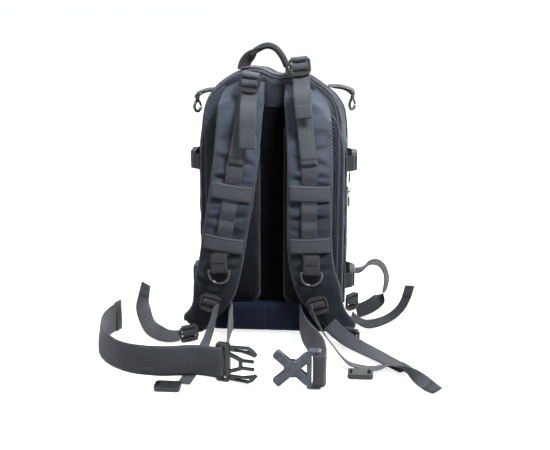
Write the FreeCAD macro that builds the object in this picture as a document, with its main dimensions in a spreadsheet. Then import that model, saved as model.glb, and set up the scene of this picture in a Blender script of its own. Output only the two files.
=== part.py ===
"""Trauma backpack: a padded clamshell pack with its harness, hip belt and hardware.

Millimetres, +Z up. The origin is the centre of the base, the harness faces -Y and the lid
faces +Y. Left and right are as seen from the harness side, so left is -X.
"""
import math
import os

import FreeCAD
import Part
import Sketcher

V = FreeCAD.Vector
Placement = FreeCAD.Placement
Rotation = FreeCAD.Rotation
X_AXIS = V(1, 0, 0)
Y_AXIS = V(0, 1, 0)
Z_AXIS = V(0, 0, 1)

DIMENSIONS = {
    "pack_width": 235, "pack_height": 435, "top_radius": 88, "base_radius": 28,
    "wall": 4, "edge_round": 10, "base_sheet": 3, "rear_depth": 85, "split_line": 35,
    "lid_gap": 0.6, "lid_depth": 60, "sheet_gap": 0.3,
    "pad_width": 84, "pad_height": 319, "pad_depth": 20, "pad_radius": 40, "pad_base": 56,
    "channel_width": 42, "lumbar_depth": 20, "lumbar_height": 51,
    "yoke_width": 150, "yoke_height": 50,
    "strap_width": 68, "strap_foot": 48, "strap_depth": 16, "webbing": 25, "web_thick": 1.6,
    "belt_width": 50, "belt_thick": 2, "belt_lift": 6.5, "cord_radius": 3,
    "lock_width": 33, "lock_height": 24, "lock_depth": 4, "lock_slot": 6, "lock_bar": 4,
    "ring_wire": 2, "ring_half": 16.5, "ring_leg": 5,
    "tape_width": 12, "tape_thick": 1.2, "slider_length": 13, "slider_width": 9,
    "slider_depth": 5, "bridge_radius": 3.2, "bridge_wire": 0.8,
    "pull_length": 26, "pull_width": 8, "pull_depth": 3,
    "buckle_length": 40, "buckle_width": 30, "buckle_depth": 9,
    "clip_height": 60, "clip_depth": 8, "socket_depth": 12,
    "pocket_wall": 2.5, "low_pocket_width": 180, "low_pocket_height": 190,
    "low_pocket_depth": 32, "top_pocket_width": 164, "top_pocket_height": 120,
    "top_pocket_depth": 24, "hook_radius": 8.5, "hook_wire": 2.4,
}

doc = FreeCAD.newDocument("TraumaBackpack")
sheet = doc.addObject("Spreadsheet::Sheet", "Dimensions")
for row, (alias, number) in enumerate(DIMENSIONS.items(), start=1):
    sheet.set("A%d" % row, alias)
    sheet.set("B%d" % row, str(number))
    sheet.setAlias("B%d" % row, alias)
doc.recompute()


class Amount:
    """A length that keeps the spreadsheet formula it was worked out with."""

    def __init__(self, formula, number):
        self.formula = formula
        self.number = number

    def __float__(self):
        return float(self.number)

    def _join(self, sign, other, number):
        text = other.formula if isinstance(other, Amount) else repr(float(other))
        return Amount("(%s %s %s)" % (self.formula, sign, text), number)

    def __add__(self, other):
        return self._join("+", other, self.number + float(other))

    def __sub__(self, other):
        return self._join("-", other, self.number - float(other))

    def __mul__(self, other):
        return self._join("*", other, self.number * float(other))

    def __truediv__(self, other):
        return self._join("/", other, self.number / float(other))


class Sizes:
    """The spreadsheet's cells by name: dim.wall is the cell with the alias wall."""

    def __getattr__(self, alias):
        return Amount("Dimensions." + alias, float(getattr(sheet, alias)))


dim = Sizes()
nodes = []


def bind(item, prop, amount):
    """Bind a property to the spreadsheet, or set it where the amount is a plain number."""
    if isinstance(amount, Amount):
        item.setExpression(prop, amount.formula)
    else:
        setattr(item, prop, amount)


def put(item, x=0.0, y=0.0, z=0.0, turn=None):
    """Place an object, with each coordinate bound where it is an amount."""
    item.Placement = Placement(V(float(x), float(y), float(z)), turn or Rotation())
    for axis, amount in (("x", x), ("y", y), ("z", z)):
        if isinstance(amount, Amount):
            item.setExpression("Placement.Base." + axis, amount.formula)
    return item


def keep(item):
    """Add an object to the list of nodes that are written out."""
    nodes.append(item)
    return item


# ---------------------------------------------------------------- sketched plates and trays

def new_sketch(body, name):
    """A sketch on the body's own XZ plane: sketch x is X, sketch y is Z, normal is -Y."""
    sketch = body.newObject("Sketcher::SketchObject", name)
    planes = [item for item in body.Origin.OriginFeatures if item.Role == "XZ_Plane"]
    sketch.AttachmentSupport = (planes[0], [""])
    sketch.MapMode = "FlatFace"
    return sketch


def named(sketch, name, amount, *constraint):
    """Add a size constraint with a name, bound to the spreadsheet."""
    index = sketch.addConstraint(Sketcher.Constraint(*constraint, float(amount)))
    sketch.renameConstraint(index, name)
    bind_name = "Constraints." + name
    if isinstance(amount, Amount):
        sketch.setExpression(bind_name, amount.formula)


def rounded_outline(sketch, width, height, top, corner, lift=None):
    """A rectangle centred on x = 0 with its own radius for the top and bottom corners."""
    base = float(lift) if lift is not None else 0.0
    half = float(width) / 2
    tall = base + float(height)
    big = float(top)
    small = float(corner)

    def line(start, end):
        return Part.LineSegment(V(*start, 0), V(*end, 0))

    def arc(x, y, radius, quarter):
        circle = Part.Circle(V(x, y, 0), Z_AXIS, radius)
        return Part.ArcOfCircle(circle, quarter * math.pi / 2, (quarter + 1) * math.pi / 2)

    sketch.addGeometry([
        line((small - half, base), (half - small, base)),
        arc(half - small, base + small, small, 3),
        line((half, base + small), (half, tall - big)),
        arc(half - big, tall - big, big, 0),
        line((half - big, tall), (big - half, tall)),
        arc(big - half, tall - big, big, 1),
        line((-half, tall - big), (-half, base + small)),
        arc(small - half, base + small, small, 2),
    ])
    for side in range(8):
        sketch.addConstraint(Sketcher.Constraint("Tangent", side, 2, (side + 1) % 8, 1))
    for side, kind in ((0, "Horizontal"), (4, "Horizontal"), (2, "Vertical"), (6, "Vertical")):
        sketch.addConstraint(Sketcher.Constraint(kind, side))
    sketch.addConstraint(Sketcher.Constraint("Equal", 1, 7))
    sketch.addConstraint(Sketcher.Constraint("Equal", 3, 5))
    named(sketch, "Top", top, "Radius", 3)
    named(sketch, "Corner", corner, "Radius", 1)
    named(sketch, "Half", width / 2, "DistanceX", -1, 1, 2, 1)
    named(sketch, "Width", width, "DistanceX", 6, 1, 2, 1)
    named(sketch, "Height", height, "DistanceY", 0, 1, 4, 1)
    if lift is None:
        sketch.addConstraint(Sketcher.Constraint("PointOnObject", 0, 1, -1))
    else:
        named(sketch, "Lift", lift, "DistanceY", -1, 1, 0, 1)


def padded_outline(label, width, height, top, corner, depth, toward_front=False):
    """A body whose outline is padded from y = 0 towards -Y, or towards +Y."""
    body = doc.addObject("PartDesign::Body", label)
    sketch = new_sketch(body, label + "_outline")
    rounded_outline(sketch, width, height, top, corner)
    pad = body.newObject("PartDesign::Pad", label + "_pad")
    pad.Profile = sketch
    bind(pad, "Length", depth)
    pad.Reversed = toward_front
    return body


def round_edges(body, at_y, radius):
    """Round the edges that lie in the plane y = at_y of the body's own frame."""
    doc.recompute()
    feature = body.Tip
    names = []
    for number, edge in enumerate(feature.Shape.Edges, start=1):
        box = edge.BoundBox
        if abs(box.YMin - at_y) < 0.01 and abs(box.YMax - at_y) < 0.01:
            names.append("Edge%d" % number)
    fillet = body.newObject("PartDesign::Fillet", body.Name + "_round")
    fillet.Base = (feature, names)
    bind(fillet, "Radius", radius)


def cut_pocket(body, sketch, depth, toward_front=False):
    """Cut a pocket from the sketch plane, and make sure that it removed material."""
    doc.recompute()
    before = body.Shape.Volume
    pocket = body.newObject("PartDesign::Pocket", sketch.Name + "_pocket")
    pocket.Profile = sketch
    bind(pocket, "Length", depth)
    pocket.Reversed = not toward_front
    doc.recompute()
    if body.Shape.Volume > before - 1:
        raise RuntimeError(body.Label + ": the pocket cut nothing")


def plate(label, width, height, top, corner, depth, rounding=None):
    """A rounded plate from y = 0 back to y = -depth, its far edges rounded."""
    body = padded_outline(label, width, height, top, corner, depth)
    if rounding is not None:
        round_edges(body, -float(depth), rounding)
    return body


def tray(label, width, height, top, corner, depth, wall, rounding, toward_front=False):
    """A hollow box, open at y = 0, that runs back to y = -depth or forward to y = +depth."""
    body = padded_outline(label, width, height, top, corner, depth, toward_front)
    inner = new_sketch(body, label + "_inner")
    rounded_outline(inner, width - wall * 2, height - wall * 2, top - wall, corner - wall, wall)
    cut_pocket(body, inner, depth - wall, toward_front)
    far_side = float(depth) if toward_front else -float(depth)
    round_edges(body, far_side, rounding)
    return body


def slots(body, name, openings, depth):
    """Cut rounded windows, each given as (centre x, base z, width, height), through a plate."""
    for number, (x, z, width, height) in enumerate(openings):
        sketch = new_sketch(body, "%s_%s%d" % (body.Name, name, number))
        corner = height / 2 - 0.4 if float(height) < float(width) else width / 2 - 0.4
        rounded_outline(sketch, width, height, corner, corner, z)
        if x:
            sketch.AttachmentOffset = Placement(V(x, 0, 0), Rotation())
        cut_pocket(body, sketch, depth)


def copies(label, shape, places):
    """Several equal pieces as one node of separate solids."""
    moved = []
    for place in places:
        piece = shape.copy()
        piece.Placement = place.multiply(shape.Placement)
        moved.append(piece)
    item = doc.addObject("Part::Feature", label)
    item.Shape = Part.makeCompound(moved)
    return keep(item)


# ---------------------------------------------------------------- webbing and cords

def corner_arc(before, corner, after):
    """The tangent arc at a corner: start, end, their directions, and the radius."""
    run_in = corner - before
    run_out = after - corner
    reach = 0.45 * min(run_in.Length, run_out.Length)
    run_in.normalize()
    run_out.normalize()
    half_turn = run_in.getAngle(run_out) / 2
    radius = reach / math.tan(half_turn)
    return corner - run_in * reach, corner + run_out * reach, run_in, run_out, radius


def arc_middle(start, end, corner, radius):
    """The middle point of a corner's arc."""
    chord_middle = (start + end) * 0.5
    toward_corner = (corner - chord_middle).normalize()
    half_chord = (end - start).Length / 2
    return chord_middle + toward_corner * (radius - math.sqrt(radius ** 2 - half_chord ** 2))


def flat_band(points, low, high):
    """A face along a path in the XY plane, from `low` to `high` to the left of the path."""
    path = [V(x, y, 0) for x, y in points]
    first = (path[1] - path[0]).normalize()
    last = (path[-1] - path[-2]).normalize()
    stations = [[(path[0], first)]]
    for before, corner, after in zip(path, path[1:], path[2:]):
        start, end, run_in, run_out, radius = corner_arc(before, corner, after)
        middle = arc_middle(start, end, corner, radius)
        along = (run_in + run_out).normalize()
        stations.append([(start, run_in), (middle, along), (end, run_out)])
    stations.append([(path[-1], last)])

    def side(offset):
        moved = []
        for group in stations:
            moved.append([point + V(-along.y, along.x, 0) * offset for point, along in group])
        edges = []
        for here, following in zip(moved, moved[1:]):
            edges.append(Part.LineSegment(here[-1], following[0]))
            if len(following) == 3:
                edges.append(Part.Arc(*following))
        return edges, moved[0][0], moved[-1][-1]

    near_edges, near_start, near_end = side(low)
    far_edges, far_start, far_end = side(high)
    caps = [Part.LineSegment(near_end, far_end), Part.LineSegment(far_start, near_start)]
    edges = [curve.toShape() for curve in near_edges + far_edges + caps]
    return Part.Face(Part.Wire(Part.__sortEdges__(edges)))


def band(points, low, high, width):
    """Webbing along a flat path: `low` to `high` to its left, `width` across the path."""
    across = float(width)
    solid = flat_band(points, float(low), float(high)).extrude(V(0, 0, across))
    solid.translate(V(0, 0, -across / 2))
    return solid


def webbing(points, thick, width):
    """Webbing centred on its path."""
    return band(points, -float(thick) / 2, float(thick) / 2, width)


SIDE_VIEW = Rotation(Y_AXIS, Z_AXIS, X_AXIS, "XYZ")
FRONT_VIEW = Rotation(X_AXIS, Z_AXIS, Y_AXIS * -1, "XYZ")


def stand(shape, turn, x=0.0, y=0.0, z=0.0):
    """Turn a flat-path shape into its view and move it."""
    placed = shape.copy()
    move = Placement(V(float(x), float(y), float(z)), turn)
    placed.Placement = move.multiply(shape.Placement)
    return placed


def feature(label, solids):
    """A node made from one solid, or from several separate ones."""
    item = doc.addObject("Part::Feature", label)
    item.Shape = solids[0] if len(solids) == 1 else Part.makeCompound(solids)
    return keep(item)


def cord_tube(label, route):
    """A plain round tube along a free strap: straight runs joined by tangent arcs."""
    radius = float(dim.cord_radius)
    path = [V(*point) for point in route]
    edges = []
    bends = []
    here = path[0]
    for before, corner, after in zip(path, path[1:], path[2:]):
        start, end, _, _, bend = corner_arc(before, corner, after)
        edges.append(Part.LineSegment(here, start).toShape())
        edges.append(Part.Arc(start, arc_middle(start, end, corner, bend), end).toShape())
        bends.append(round(bend))
        here = end
    edges.append(Part.LineSegment(here, path[-1]).toShape())
    spine = Part.Wire(edges)
    length = spine.Length
    circle = Part.Circle(path[0], path[1] - path[0], radius)
    profile = Part.Wire([circle.toShape()])
    tube = spine.makePipeShell([profile], True, True)
    expected = math.pi * radius ** 2 * length
    print("%s: %.0f mm long, radii %s, volume ratio %.4f"
          % (label, length, bends, tube.Volume / expected))
    return feature(label, [tube])


# ---------------------------------------------------------------- pack body

REAR = dim.rear_depth
BASE = dim.base_sheet
LID_START = dim.split_line + dim.lid_gap
BRIDGE_FOOT = dim.slider_depth - 2
BRIDGE_OUT = dim.slider_depth - 0.6
BRIDGE_UP = 1


def make_shells():
    """The rear compartment, the clamshell lid, and the sheet under the base."""
    rear = tray("main_shell", dim.pack_width, dim.pack_height, dim.top_radius,
                dim.base_radius, REAR + dim.split_line, dim.wall, dim.edge_round)
    keep(put(rear, y=dim.split_line, z=BASE))
    lid = tray("lid_shell", dim.pack_width, dim.pack_height, dim.top_radius,
               dim.base_radius, dim.lid_depth, dim.wall, dim.edge_round, True)
    keep(put(lid, y=LID_START, z=BASE))
    under = doc.addObject("Part::Box", "base_panel")
    bind(under, "Length", dim.pack_width - dim.base_radius * 2)
    bind(under, "Width", REAR + dim.split_line - dim.edge_round * 2)
    bind(under, "Height", BASE)
    keep(put(under, (dim.pack_width / 2 - dim.base_radius) * -1, dim.edge_round - REAR))


def make_zip_tapes():
    """Both halves of the main zip: an arch round each compartment's edge."""
    for label, start, toward_front in (("zip_tape_rear", dim.split_line, False),
                                       ("zip_tape_lid", LID_START, True)):
        grow = dim.tape_thick * 2
        body = padded_outline(label, dim.pack_width + grow, dim.pack_height + grow,
                              dim.top_radius + dim.tape_thick, dim.base_radius + dim.tape_thick,
                              dim.tape_width, toward_front)
        inner = new_sketch(body, label + "_inner")
        rounded_outline(inner, dim.pack_width, dim.pack_height, dim.top_radius,
                        dim.base_radius, dim.tape_thick)
        cut_pocket(body, inner, dim.tape_width, toward_front)
        foot = new_sketch(body, label + "_foot")
        rounded_outline(foot, dim.pack_width + 20, dim.base_radius + 2, 1, 1)
        cut_pocket(body, foot, dim.tape_width, toward_front)
        keep(put(body, y=start, z=BASE - dim.tape_thick))


def make_back_panel():
    """Stiffener inside, and the padded back panel outside."""
    wall = dim.wall
    frame_sheet = plate("frame_sheet", dim.pack_width - wall * 4, dim.pack_height - wall * 6,
                        dim.top_radius - wall * 2, dim.base_radius, 1.5)
    keep(put(frame_sheet, y=wall + 1.8 - REAR, z=BASE + wall * 3))
    for name, side in (("left", -1), ("right", 1)):
        pad = plate("back_pad_" + name, dim.pad_width, dim.pad_height, dim.pad_radius, 12,
                    dim.pad_depth, 7)
        offset = (dim.channel_width + dim.pad_width) / 2
        keep(put(pad, offset * side, REAR * -1, dim.pad_base))
    spine = plate("spine_mesh", dim.channel_width - 0.4, dim.pad_height, 8, 4, 2)
    keep(put(spine, 0, REAR * -1, dim.pad_base))
    lumbar = plate("lumbar_panel", dim.pad_width * 2 + dim.channel_width,
                   dim.lumbar_height, 4, 12, dim.lumbar_depth, 3)
    keep(put(lumbar, 0, REAR * -1, BASE + 1))
    yoke = plate("shoulder_yoke", dim.yoke_width, dim.yoke_height, 44, 3, 3)
    keep(put(yoke, 0, REAR * -1, dim.pad_base + dim.pad_height + 1))


def make_interior():
    """Padded divider, its elastic loops, and the mesh pocket inside the lid."""
    divider = plate("padded_divider", 215, 300, 12, 26, 6, 2)
    keep(put(divider, 0, -34, BASE + dim.wall))
    loops = []
    for level in (80, 160, 240):
        wave = [(-96, -33)]
        for pocket in range(6):
            left = -92 + pocket * 31
            wave += [(left, -33), (left + 5, -20), (left + 21, -20), (left + 26, -33)]
        wave.append((96, -33))
        loops.append(stand(webbing(wave, 1.2, 38), Rotation(), z=level))
    feature("elastic_loops", loops)
    depth = float(LID_START + dim.lid_depth - dim.wall)
    route = [(-88, depth), (-88, depth - 14), (88, depth - 14), (88, depth)]
    feature("lid_mesh_pocket", [stand(webbing(route, 1.2, 170), Rotation(), z=130)])


def make_front_pockets():
    """Two zipped pockets on the lid, the upper one's zip, and webbing rows on the lower."""
    front = LID_START + dim.lid_depth
    for label, width, height, depth, base in (
            ("front_pocket_lower", dim.low_pocket_width, dim.low_pocket_height,
             dim.low_pocket_depth, 32),
            ("front_pocket_upper", dim.top_pocket_width, dim.top_pocket_height,
             dim.top_pocket_depth, 236)):
        top = 24 if label.endswith("lower") else 40
        outline = padded_outline(label, width, height, top, 12, depth, True)
        inner = new_sketch(outline, label + "_inner")
        rounded_outline(inner, width - dim.pocket_wall * 2, height - dim.pocket_wall * 2,
                        top - 2.5, 9.5, dim.pocket_wall)
        cut_pocket(outline, inner, depth - dim.pocket_wall, True)
        round_edges(outline, float(depth), 5)
        keep(put(outline, 0, front, base))
    face = float(front + dim.low_pocket_depth)
    rows = []
    for level in (60, 98, 136, 174):
        route = [(-82, face + 0.9)]
        for gap in range(4):
            left = -78 + gap * 39
            route += [(left, face + 0.9), (left + 8, face + 3), (left + 30, face + 3),
                      (left + 38, face + 0.9)]
        route.append((82, face + 0.9))
        rows.append(stand(webbing(route, 1.4, dim.webbing), Rotation(), z=level))
    feature("front_molle", rows)
    face = float(front + dim.top_pocket_depth)
    tape = plate("pocket_zip_tape", 128, dim.tape_width, 2, 2, 1)
    keep(put(tape, 0, face + 1, 325))


# ---------------------------------------------------------------- zip sliders

def slider_body(label, along_x=False):
    """A slider whose outer face looks along +X, with a wire bridge standing on that face."""
    base = doc.addObject("Part::Box", label + "_base")
    bind(base, "Length", BRIDGE_FOOT)
    bind(base, "Width", dim.slider_length if along_x else dim.slider_width)
    bind(base, "Height", dim.slider_width if along_x else dim.slider_length)
    wide = dim.slider_length if along_x else dim.slider_width
    tall = dim.slider_width if along_x else dim.slider_length
    put(base, 0, wide / -2, tall / -2)
    rounded = doc.addObject("Part::Fillet", label + "_rounded")
    rounded.Base = base
    doc.recompute()
    rounded.Edges = [(number, 1.0, 1.0) for number in range(1, 13)]
    bridge = doc.addObject("Part::Torus", label + "_bridge")
    bind(bridge, "Radius1", dim.bridge_radius)
    bind(bridge, "Radius2", dim.bridge_wire)
    put(bridge, BRIDGE_OUT, 0, BRIDGE_UP, Rotation(X_AXIS, 90))
    joined = doc.addObject("Part::Fuse", label)
    joined.Base = rounded
    joined.Tool = bridge
    return joined


def pull_shape():
    """A zip pull hanging from a bridge centred on the origin: eye, two cords and a grip."""
    reach = float(dim.bridge_radius)
    wire = float(dim.bridge_wire)
    eye = Part.makeTorus(2.4, wire, V(0, 0, -reach), X_AXIS)
    cords = [Part.makeCylinder(wire, 9, V(0, y, -reach - 10.4)) for y in (-1, 1)]
    deep = float(dim.pull_depth)
    wide = float(dim.pull_width)
    tall = float(dim.pull_length) - 10
    grip = Part.makeBox(deep, wide, tall, V(-deep / 2, -wide / 2, -reach - 10 - tall))
    grip = grip.makeFillet(1.2, grip.Edges)
    return eye.multiFuse(cords + [grip])


def make_sliders():
    """Two sliders on the right side of the main zip, one on the upper pocket's zip."""
    outside = dim.pack_width / 2 + dim.tape_thick + dim.sheet_gap
    middle = dim.split_line + dim.lid_gap / 2
    pull = pull_shape()
    for name, height in (("lower", 215), ("upper", 258)):
        keep(put(slider_body("main_slider_" + name), outside, middle, height))
        hung = feature("main_pull_" + name, [pull.copy()])
        put(hung, outside + BRIDGE_OUT, middle, height + BRIDGE_UP)
    face = LID_START + dim.lid_depth + dim.top_pocket_depth + 1 + dim.sheet_gap
    quarter = Rotation(Z_AXIS, 90)
    keep(put(slider_body("pocket_slider", True), 52, face, 331, quarter))
    hung = feature("pocket_pull", [pull.copy()])
    put(hung, 52, face + BRIDGE_OUT, 331 + BRIDGE_UP, quarter)


# ---------------------------------------------------------------- shoulder straps

STRAP_LINES = {
    "left": [(-34, 434), (-45, 392), (-51, 318), (-59, 250), (-73, 170), (-81, 118),
             (-98, 68), (-121, 22)],
    "right": [(46, 434), (57, 392), (62, 318), (63, 250), (62, 173), (67, 122), (86, 70),
              (119, 26)],
}
STRAP_SIDE = [(-97, 436), (-111, 392), (-126, 318), (-131, 252), (-130, 172), (-126, 118),
              (-121, 66), (-116, 18)]


def side_at(height):
    """The strap's middle in Y at a height, straight between the profile's points."""
    for (y_high, high), (y_low, low) in zip(STRAP_SIDE, STRAP_SIDE[1:]):
        if low <= height <= high:
            return y_low + (y_high - y_low) * (height - low) / (high - low)
    raise ValueError("the height is off the strap")


def line_at(side, height):
    """The strap's centre line in X at a height, straight between its points."""
    points = STRAP_LINES[side]
    for (x_high, high), (x_low, low) in zip(points, points[1:]):
        if low <= height <= high:
            return x_low + (x_high - x_low) * (height - low) / (high - low)
    raise ValueError("the height is off the strap")


def strap_layer(side, width, inner, outer, low=0, high=450):
    """A layer that follows a shoulder strap, from `inner` to `outer` in front of its middle."""
    outline = webbing(STRAP_LINES[side], width, 400)
    front = stand(outline, FRONT_VIEW)
    profile = stand(band(STRAP_SIDE, -outer, -inner, 400), SIDE_VIEW)
    slab = Part.makeBox(400, 400, high - low, V(-200, -300, low))
    return front.common(profile).common(slab)


FACE = dim.strap_depth / 2
FOOT_TOP = 66


def make_shoulder_straps():
    """The padded straps, the webbing along them and the bars across them."""
    face = float(FACE)
    thick = float(dim.web_thick)
    daisy = []
    bars = []
    for side in ("left", "right"):
        foot = strap_layer(side, dim.strap_foot, -face, face)
        broad = strap_layer(side, dim.strap_width, -face, face, FOOT_TOP)
        feature("shoulder_strap_" + side, [broad.fuse(foot).removeSplitter()])
        daisy.append(strap_layer(side, dim.webbing, face + 0.1, face + 0.1 + thick, 149, 298))
        for level in (165, 249):
            bars.append(strap_layer(side, dim.strap_width - 2, face + thick + 0.3,
                                    face + thick * 2 + 0.3, level - 12.5, level + 12.5))
    feature("daisy_webbing", daisy)
    feature("strap_bars", bars)


RING_HEIGHT = 122
RING_LIFT = 13.2


def make_rings():
    """D-rings in webbing loops under the lower bars."""
    loops = []
    lift = float(FACE) + 0.3 + float(dim.web_thick) / 2
    for side in ("left", "right"):
        x = line_at(side, RING_HEIGHT)
        bar_y = side_at(RING_HEIGHT) - RING_LIFT
        back = side_at(RING_HEIGHT + 26) - lift
        near = bar_y + 3.2
        out = bar_y - 3.2
        low = RING_HEIGHT - 4.4
        route = [(back, 148), (near, RING_HEIGHT + 12), (near, low), (out, low),
                 (out, RING_HEIGHT + 16), (out + 1.5, 147)]
        loops.append(stand(webbing(route, 1.4, 21), SIDE_VIEW, x))
        ring = d_ring("d_ring_" + side)
        keep(put(ring, x, bar_y, RING_HEIGHT))
    feature("ring_loops", loops)


def d_ring(label):
    """A D-ring that hangs from its straight bar, which lies on the X axis."""
    parts = []
    half = dim.ring_half
    bar = doc.addObject("Part::Cylinder", label + "_bar")
    bind(bar, "Radius", dim.ring_wire)
    bind(bar, "Height", half * 2)
    parts.append(put(bar, half * -1, 0, 0, Rotation(Y_AXIS, 90)))
    for end in (-1, 1):
        corner = doc.addObject("Part::Sphere", label + "_corner")
        bind(corner, "Radius", dim.ring_wire)
        parts.append(put(corner, half * end, 0, 0))
        leg = doc.addObject("Part::Cylinder", label + "_leg")
        bind(leg, "Radius", dim.ring_wire)
        bind(leg, "Height", dim.ring_leg)
        parts.append(put(leg, half * end, 0, dim.ring_leg * -1))
    bow = doc.addObject("Part::Torus", label + "_bow")
    bind(bow, "Radius1", half)
    bind(bow, "Radius2", dim.ring_wire)
    bow.Angle3 = 180
    turn = Rotation(X_AXIS * -1, Z_AXIS * -1, Y_AXIS * -1, "XYZ")
    parts.append(put(bow, 0, 0, dim.ring_leg * -1, turn))
    ring = doc.addObject("Part::MultiFuse", label)
    ring.Shapes = parts
    return ring


# ---------------------------------------------------------------- locks and laced webbing

def lock_shape():
    """A ladder lock: a rounded frame with two slots, centred on the origin."""
    body = plate("ladder_lock", dim.lock_width, dim.lock_height, 3, 3, dim.lock_depth, 0.8)
    low = dim.lock_bar
    high = dim.lock_bar + dim.lock_slot + 4
    opening = dim.webbing + 1
    slots(body, "slot", [(0, low, opening, dim.lock_slot), (0, high, opening, dim.lock_slot)],
          dim.lock_depth)
    doc.recompute()
    shape = body.Shape.copy()
    middle = V(0, float(dim.lock_depth) / 2, -float(dim.lock_height) / 2)
    shape.translate(middle)
    return Part.makeCompound([shape]).Solids[0]


LIFTERS = {"left": (-31, -127, 420), "right": (45, -112.5, 444)}
LIFTER_LEAN = {"left": 9.5, "right": -6.5}
TAIL_ENDS = {"left": [(-152, 380), (-153, 322)], "right": [(-140, 405), (-143, 368)]}


def make_load_lifters(locks):
    """Each lifter runs from a fold on the strap up through its lock, and its tail hangs down."""
    for side, (x, y, z) in LIFTERS.items():
        lean = Rotation(Y_AXIS, LIFTER_LEAN[side])
        locks.append(Placement(V(x, y, z), lean))
        slot = z + 5.5
        start = side_at(300) - float(FACE) - 2.2
        tail = TAIL_ENDS[side]
        route = [(start, 300), (side_at(340) - 11, 340), (side_at(392) - 11.5, 392),
                 (y + 4.2, z - 13), (y + 3.2, slot),
                 (y - 3.2, slot), (y - 3.2, z - 20)] + tail
        strap = stand(webbing(route, dim.web_thick, dim.webbing), SIDE_VIEW)
        across = Placement(V(x, 0, 0), Rotation())
        tilt = Placement(V(), lean, V(0, y, z))
        strap.Placement = across.multiply(tilt).multiply(strap.Placement)
        feature("load_lifter_" + side, [strap])


def make_strap_ends(locks):
    """Locks on the straps' lower parts, at the pads' ends and at one side, and the end tabs."""
    for side, tilt, shift in (("left", -13, 3), ("right", 16, -12)):
        x = line_at(side, 66) + shift
        y = side_at(66) - float(FACE) - 6.5
        turn = Rotation(Y_AXIS, -tilt).multiply(Rotation(X_AXIS, 6))
        locks.append(Placement(V(x, y, 66), turn))
    locks.append(Placement(V(-131, -139, 14), Rotation(Z_AXIS, 35)))
    locks.append(Placement(V(131, -137, 16), Rotation(Z_AXIS, -35)))
    locks.append(Placement(V(132, -66, 50), Rotation(Z_AXIS, 55)))
    tabs = []
    for side in (-1, 1):
        route = [(side * 106, -88.5), (side * 110, -99), (side * 121, -106)]
        tabs.append(stand(webbing(route, dim.web_thick, dim.webbing), Rotation(), z=18))
    feature("strap_end_tabs", tabs)


# ---------------------------------------------------------------- free straps

CORD_ROUTES = {
    "lower_strap_left": [(-146, -144, 12), (-168, -146, 7), (-194, -124, 8), (-214, -88, 18),
                         (-224, -58, 36), (-220, -40, 62)],
    "lower_strap_right": [(97, -134, 34), (118, -146, 17), (150, -172, 10), (184, -211, 9),
                          (214, -248, 8)],
    "sternum_strap_left": [(-88, -148, 66), (-91, -158, 44), (-97, -178, 20), (-103, -210, 6),
                           (-107, -250, 3.2), (-108, -288, 3.1), (-112, -312, 3.4)],
    "sternum_strap_right": [(64, -148, 64), (80, -172, 46), (102, -200, 26), (124, -228, 9)],
    "sternum_tail_right": [(166, -244, 6), (186, -230, 8), (205, -246, 8), (228, -282, 6),
                           (256, -312, 5)],
    "compression_tail_right": [(136.2, -24, 90), (148, -24, 90), (160, -22, 106),
                               (180, -20, 104), (192, -22, 80), (186, -28, 50),
                               (164, -40, 30), (140, -52, 27)],
    "adjuster_tail_right": [(132, -88, 34), (148, -86, 16), (174, -70, 13), (202, -62, 24),
                            (222, -58, 48), (228, -44, 72)],
}


def make_cords():
    """The loose straps, as plain tubes with the webbing's own section area."""
    for label, route in CORD_ROUTES.items():
        cord_tube(label, route)


def small_clip(label):
    """A sternum clip: a rounded block with a webbing slot at one end."""
    body = plate(label, 38, 24, 5, 5, 8, 1.5)
    slots(body, "slot", [(-14, 4, 4, 16)], 8)
    doc.recompute()
    return body


def make_sternum_clips():
    """Both halves of the sternum buckle, lying on the floor."""
    flat = Rotation(X_AXIS, 90)
    female = small_clip("sternum_clip_left")
    keep(put(female, -133, -314, 8.5, flat.multiply(Rotation(Z_AXIS, 0))))
    male = small_clip("sternum_clip_right")
    slots(male, "fork", [(13, 4, 5, 16)], 8)
    keep(put(male, 146, -249, 8.5, flat))


CLIP_PLACE = Placement(V(-66, -291, 31.5), Rotation(Z_AXIS, -14))
SOCKET_PLACE = Placement(V(22, -309, 31.5), Rotation())


def make_hip_belt():
    """The belt halves, on edge, laced through the two halves of the hip buckle."""
    middle = float(dim.belt_lift + dim.belt_width / 2)

    def laced(place, x, y):
        point = place.multVec(V(x, y, 0))
        return (point.x, point.y)

    left = [(-64, -105.4), (-65, -140), (-59, -200), (-54, -244), laced(CLIP_PLACE, 11.4, 18),
            laced(CLIP_PLACE, 11, 4), laced(CLIP_PLACE, 10.8, -5.7),
            laced(CLIP_PLACE, 2.5, -5.9), laced(CLIP_PLACE, -8, -5.2), (-98, -289), (-130, -297),
            (-166, -299), (-205, -289), (-240, -256), (-262, -212), (-267, -166), (-258, -128),
            (-250, -108)]
    belt = webbing(left, dim.belt_thick, dim.belt_width)
    feature("hip_belt_left", [stand(belt, Rotation(), z=middle)])
    right = [(47, -105.4), (52, -140), (66, -190), (86, -236), (93, -282),
             laced(SOCKET_PLACE, 72, -7.5), laced(SOCKET_PLACE, 56, -7.5),
             laced(SOCKET_PLACE, 56, 7.5), laced(SOCKET_PLACE, 62, 13)]
    belt = webbing(right, dim.belt_thick, dim.belt_width)
    feature("hip_belt_right", [stand(belt, Rotation(), z=middle)])


def bar_between(start, end, high, deep):
    """A flat bar between two points of the XZ plane, `high` across and `deep` in Y."""
    run = V(end[0] - start[0], 0, end[1] - start[1])
    bar = Part.makeBox(run.Length, deep, high, V(0, -deep / 2, -high / 2))
    bar = bar.makeFillet(min(high, deep) * 0.3, bar.Edges)
    angle = -math.degrees(math.atan2(run.z, run.x))
    bar.Placement = Placement(V(start[0], 0, start[1]), Rotation(Y_AXIS, angle))
    return bar


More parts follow.
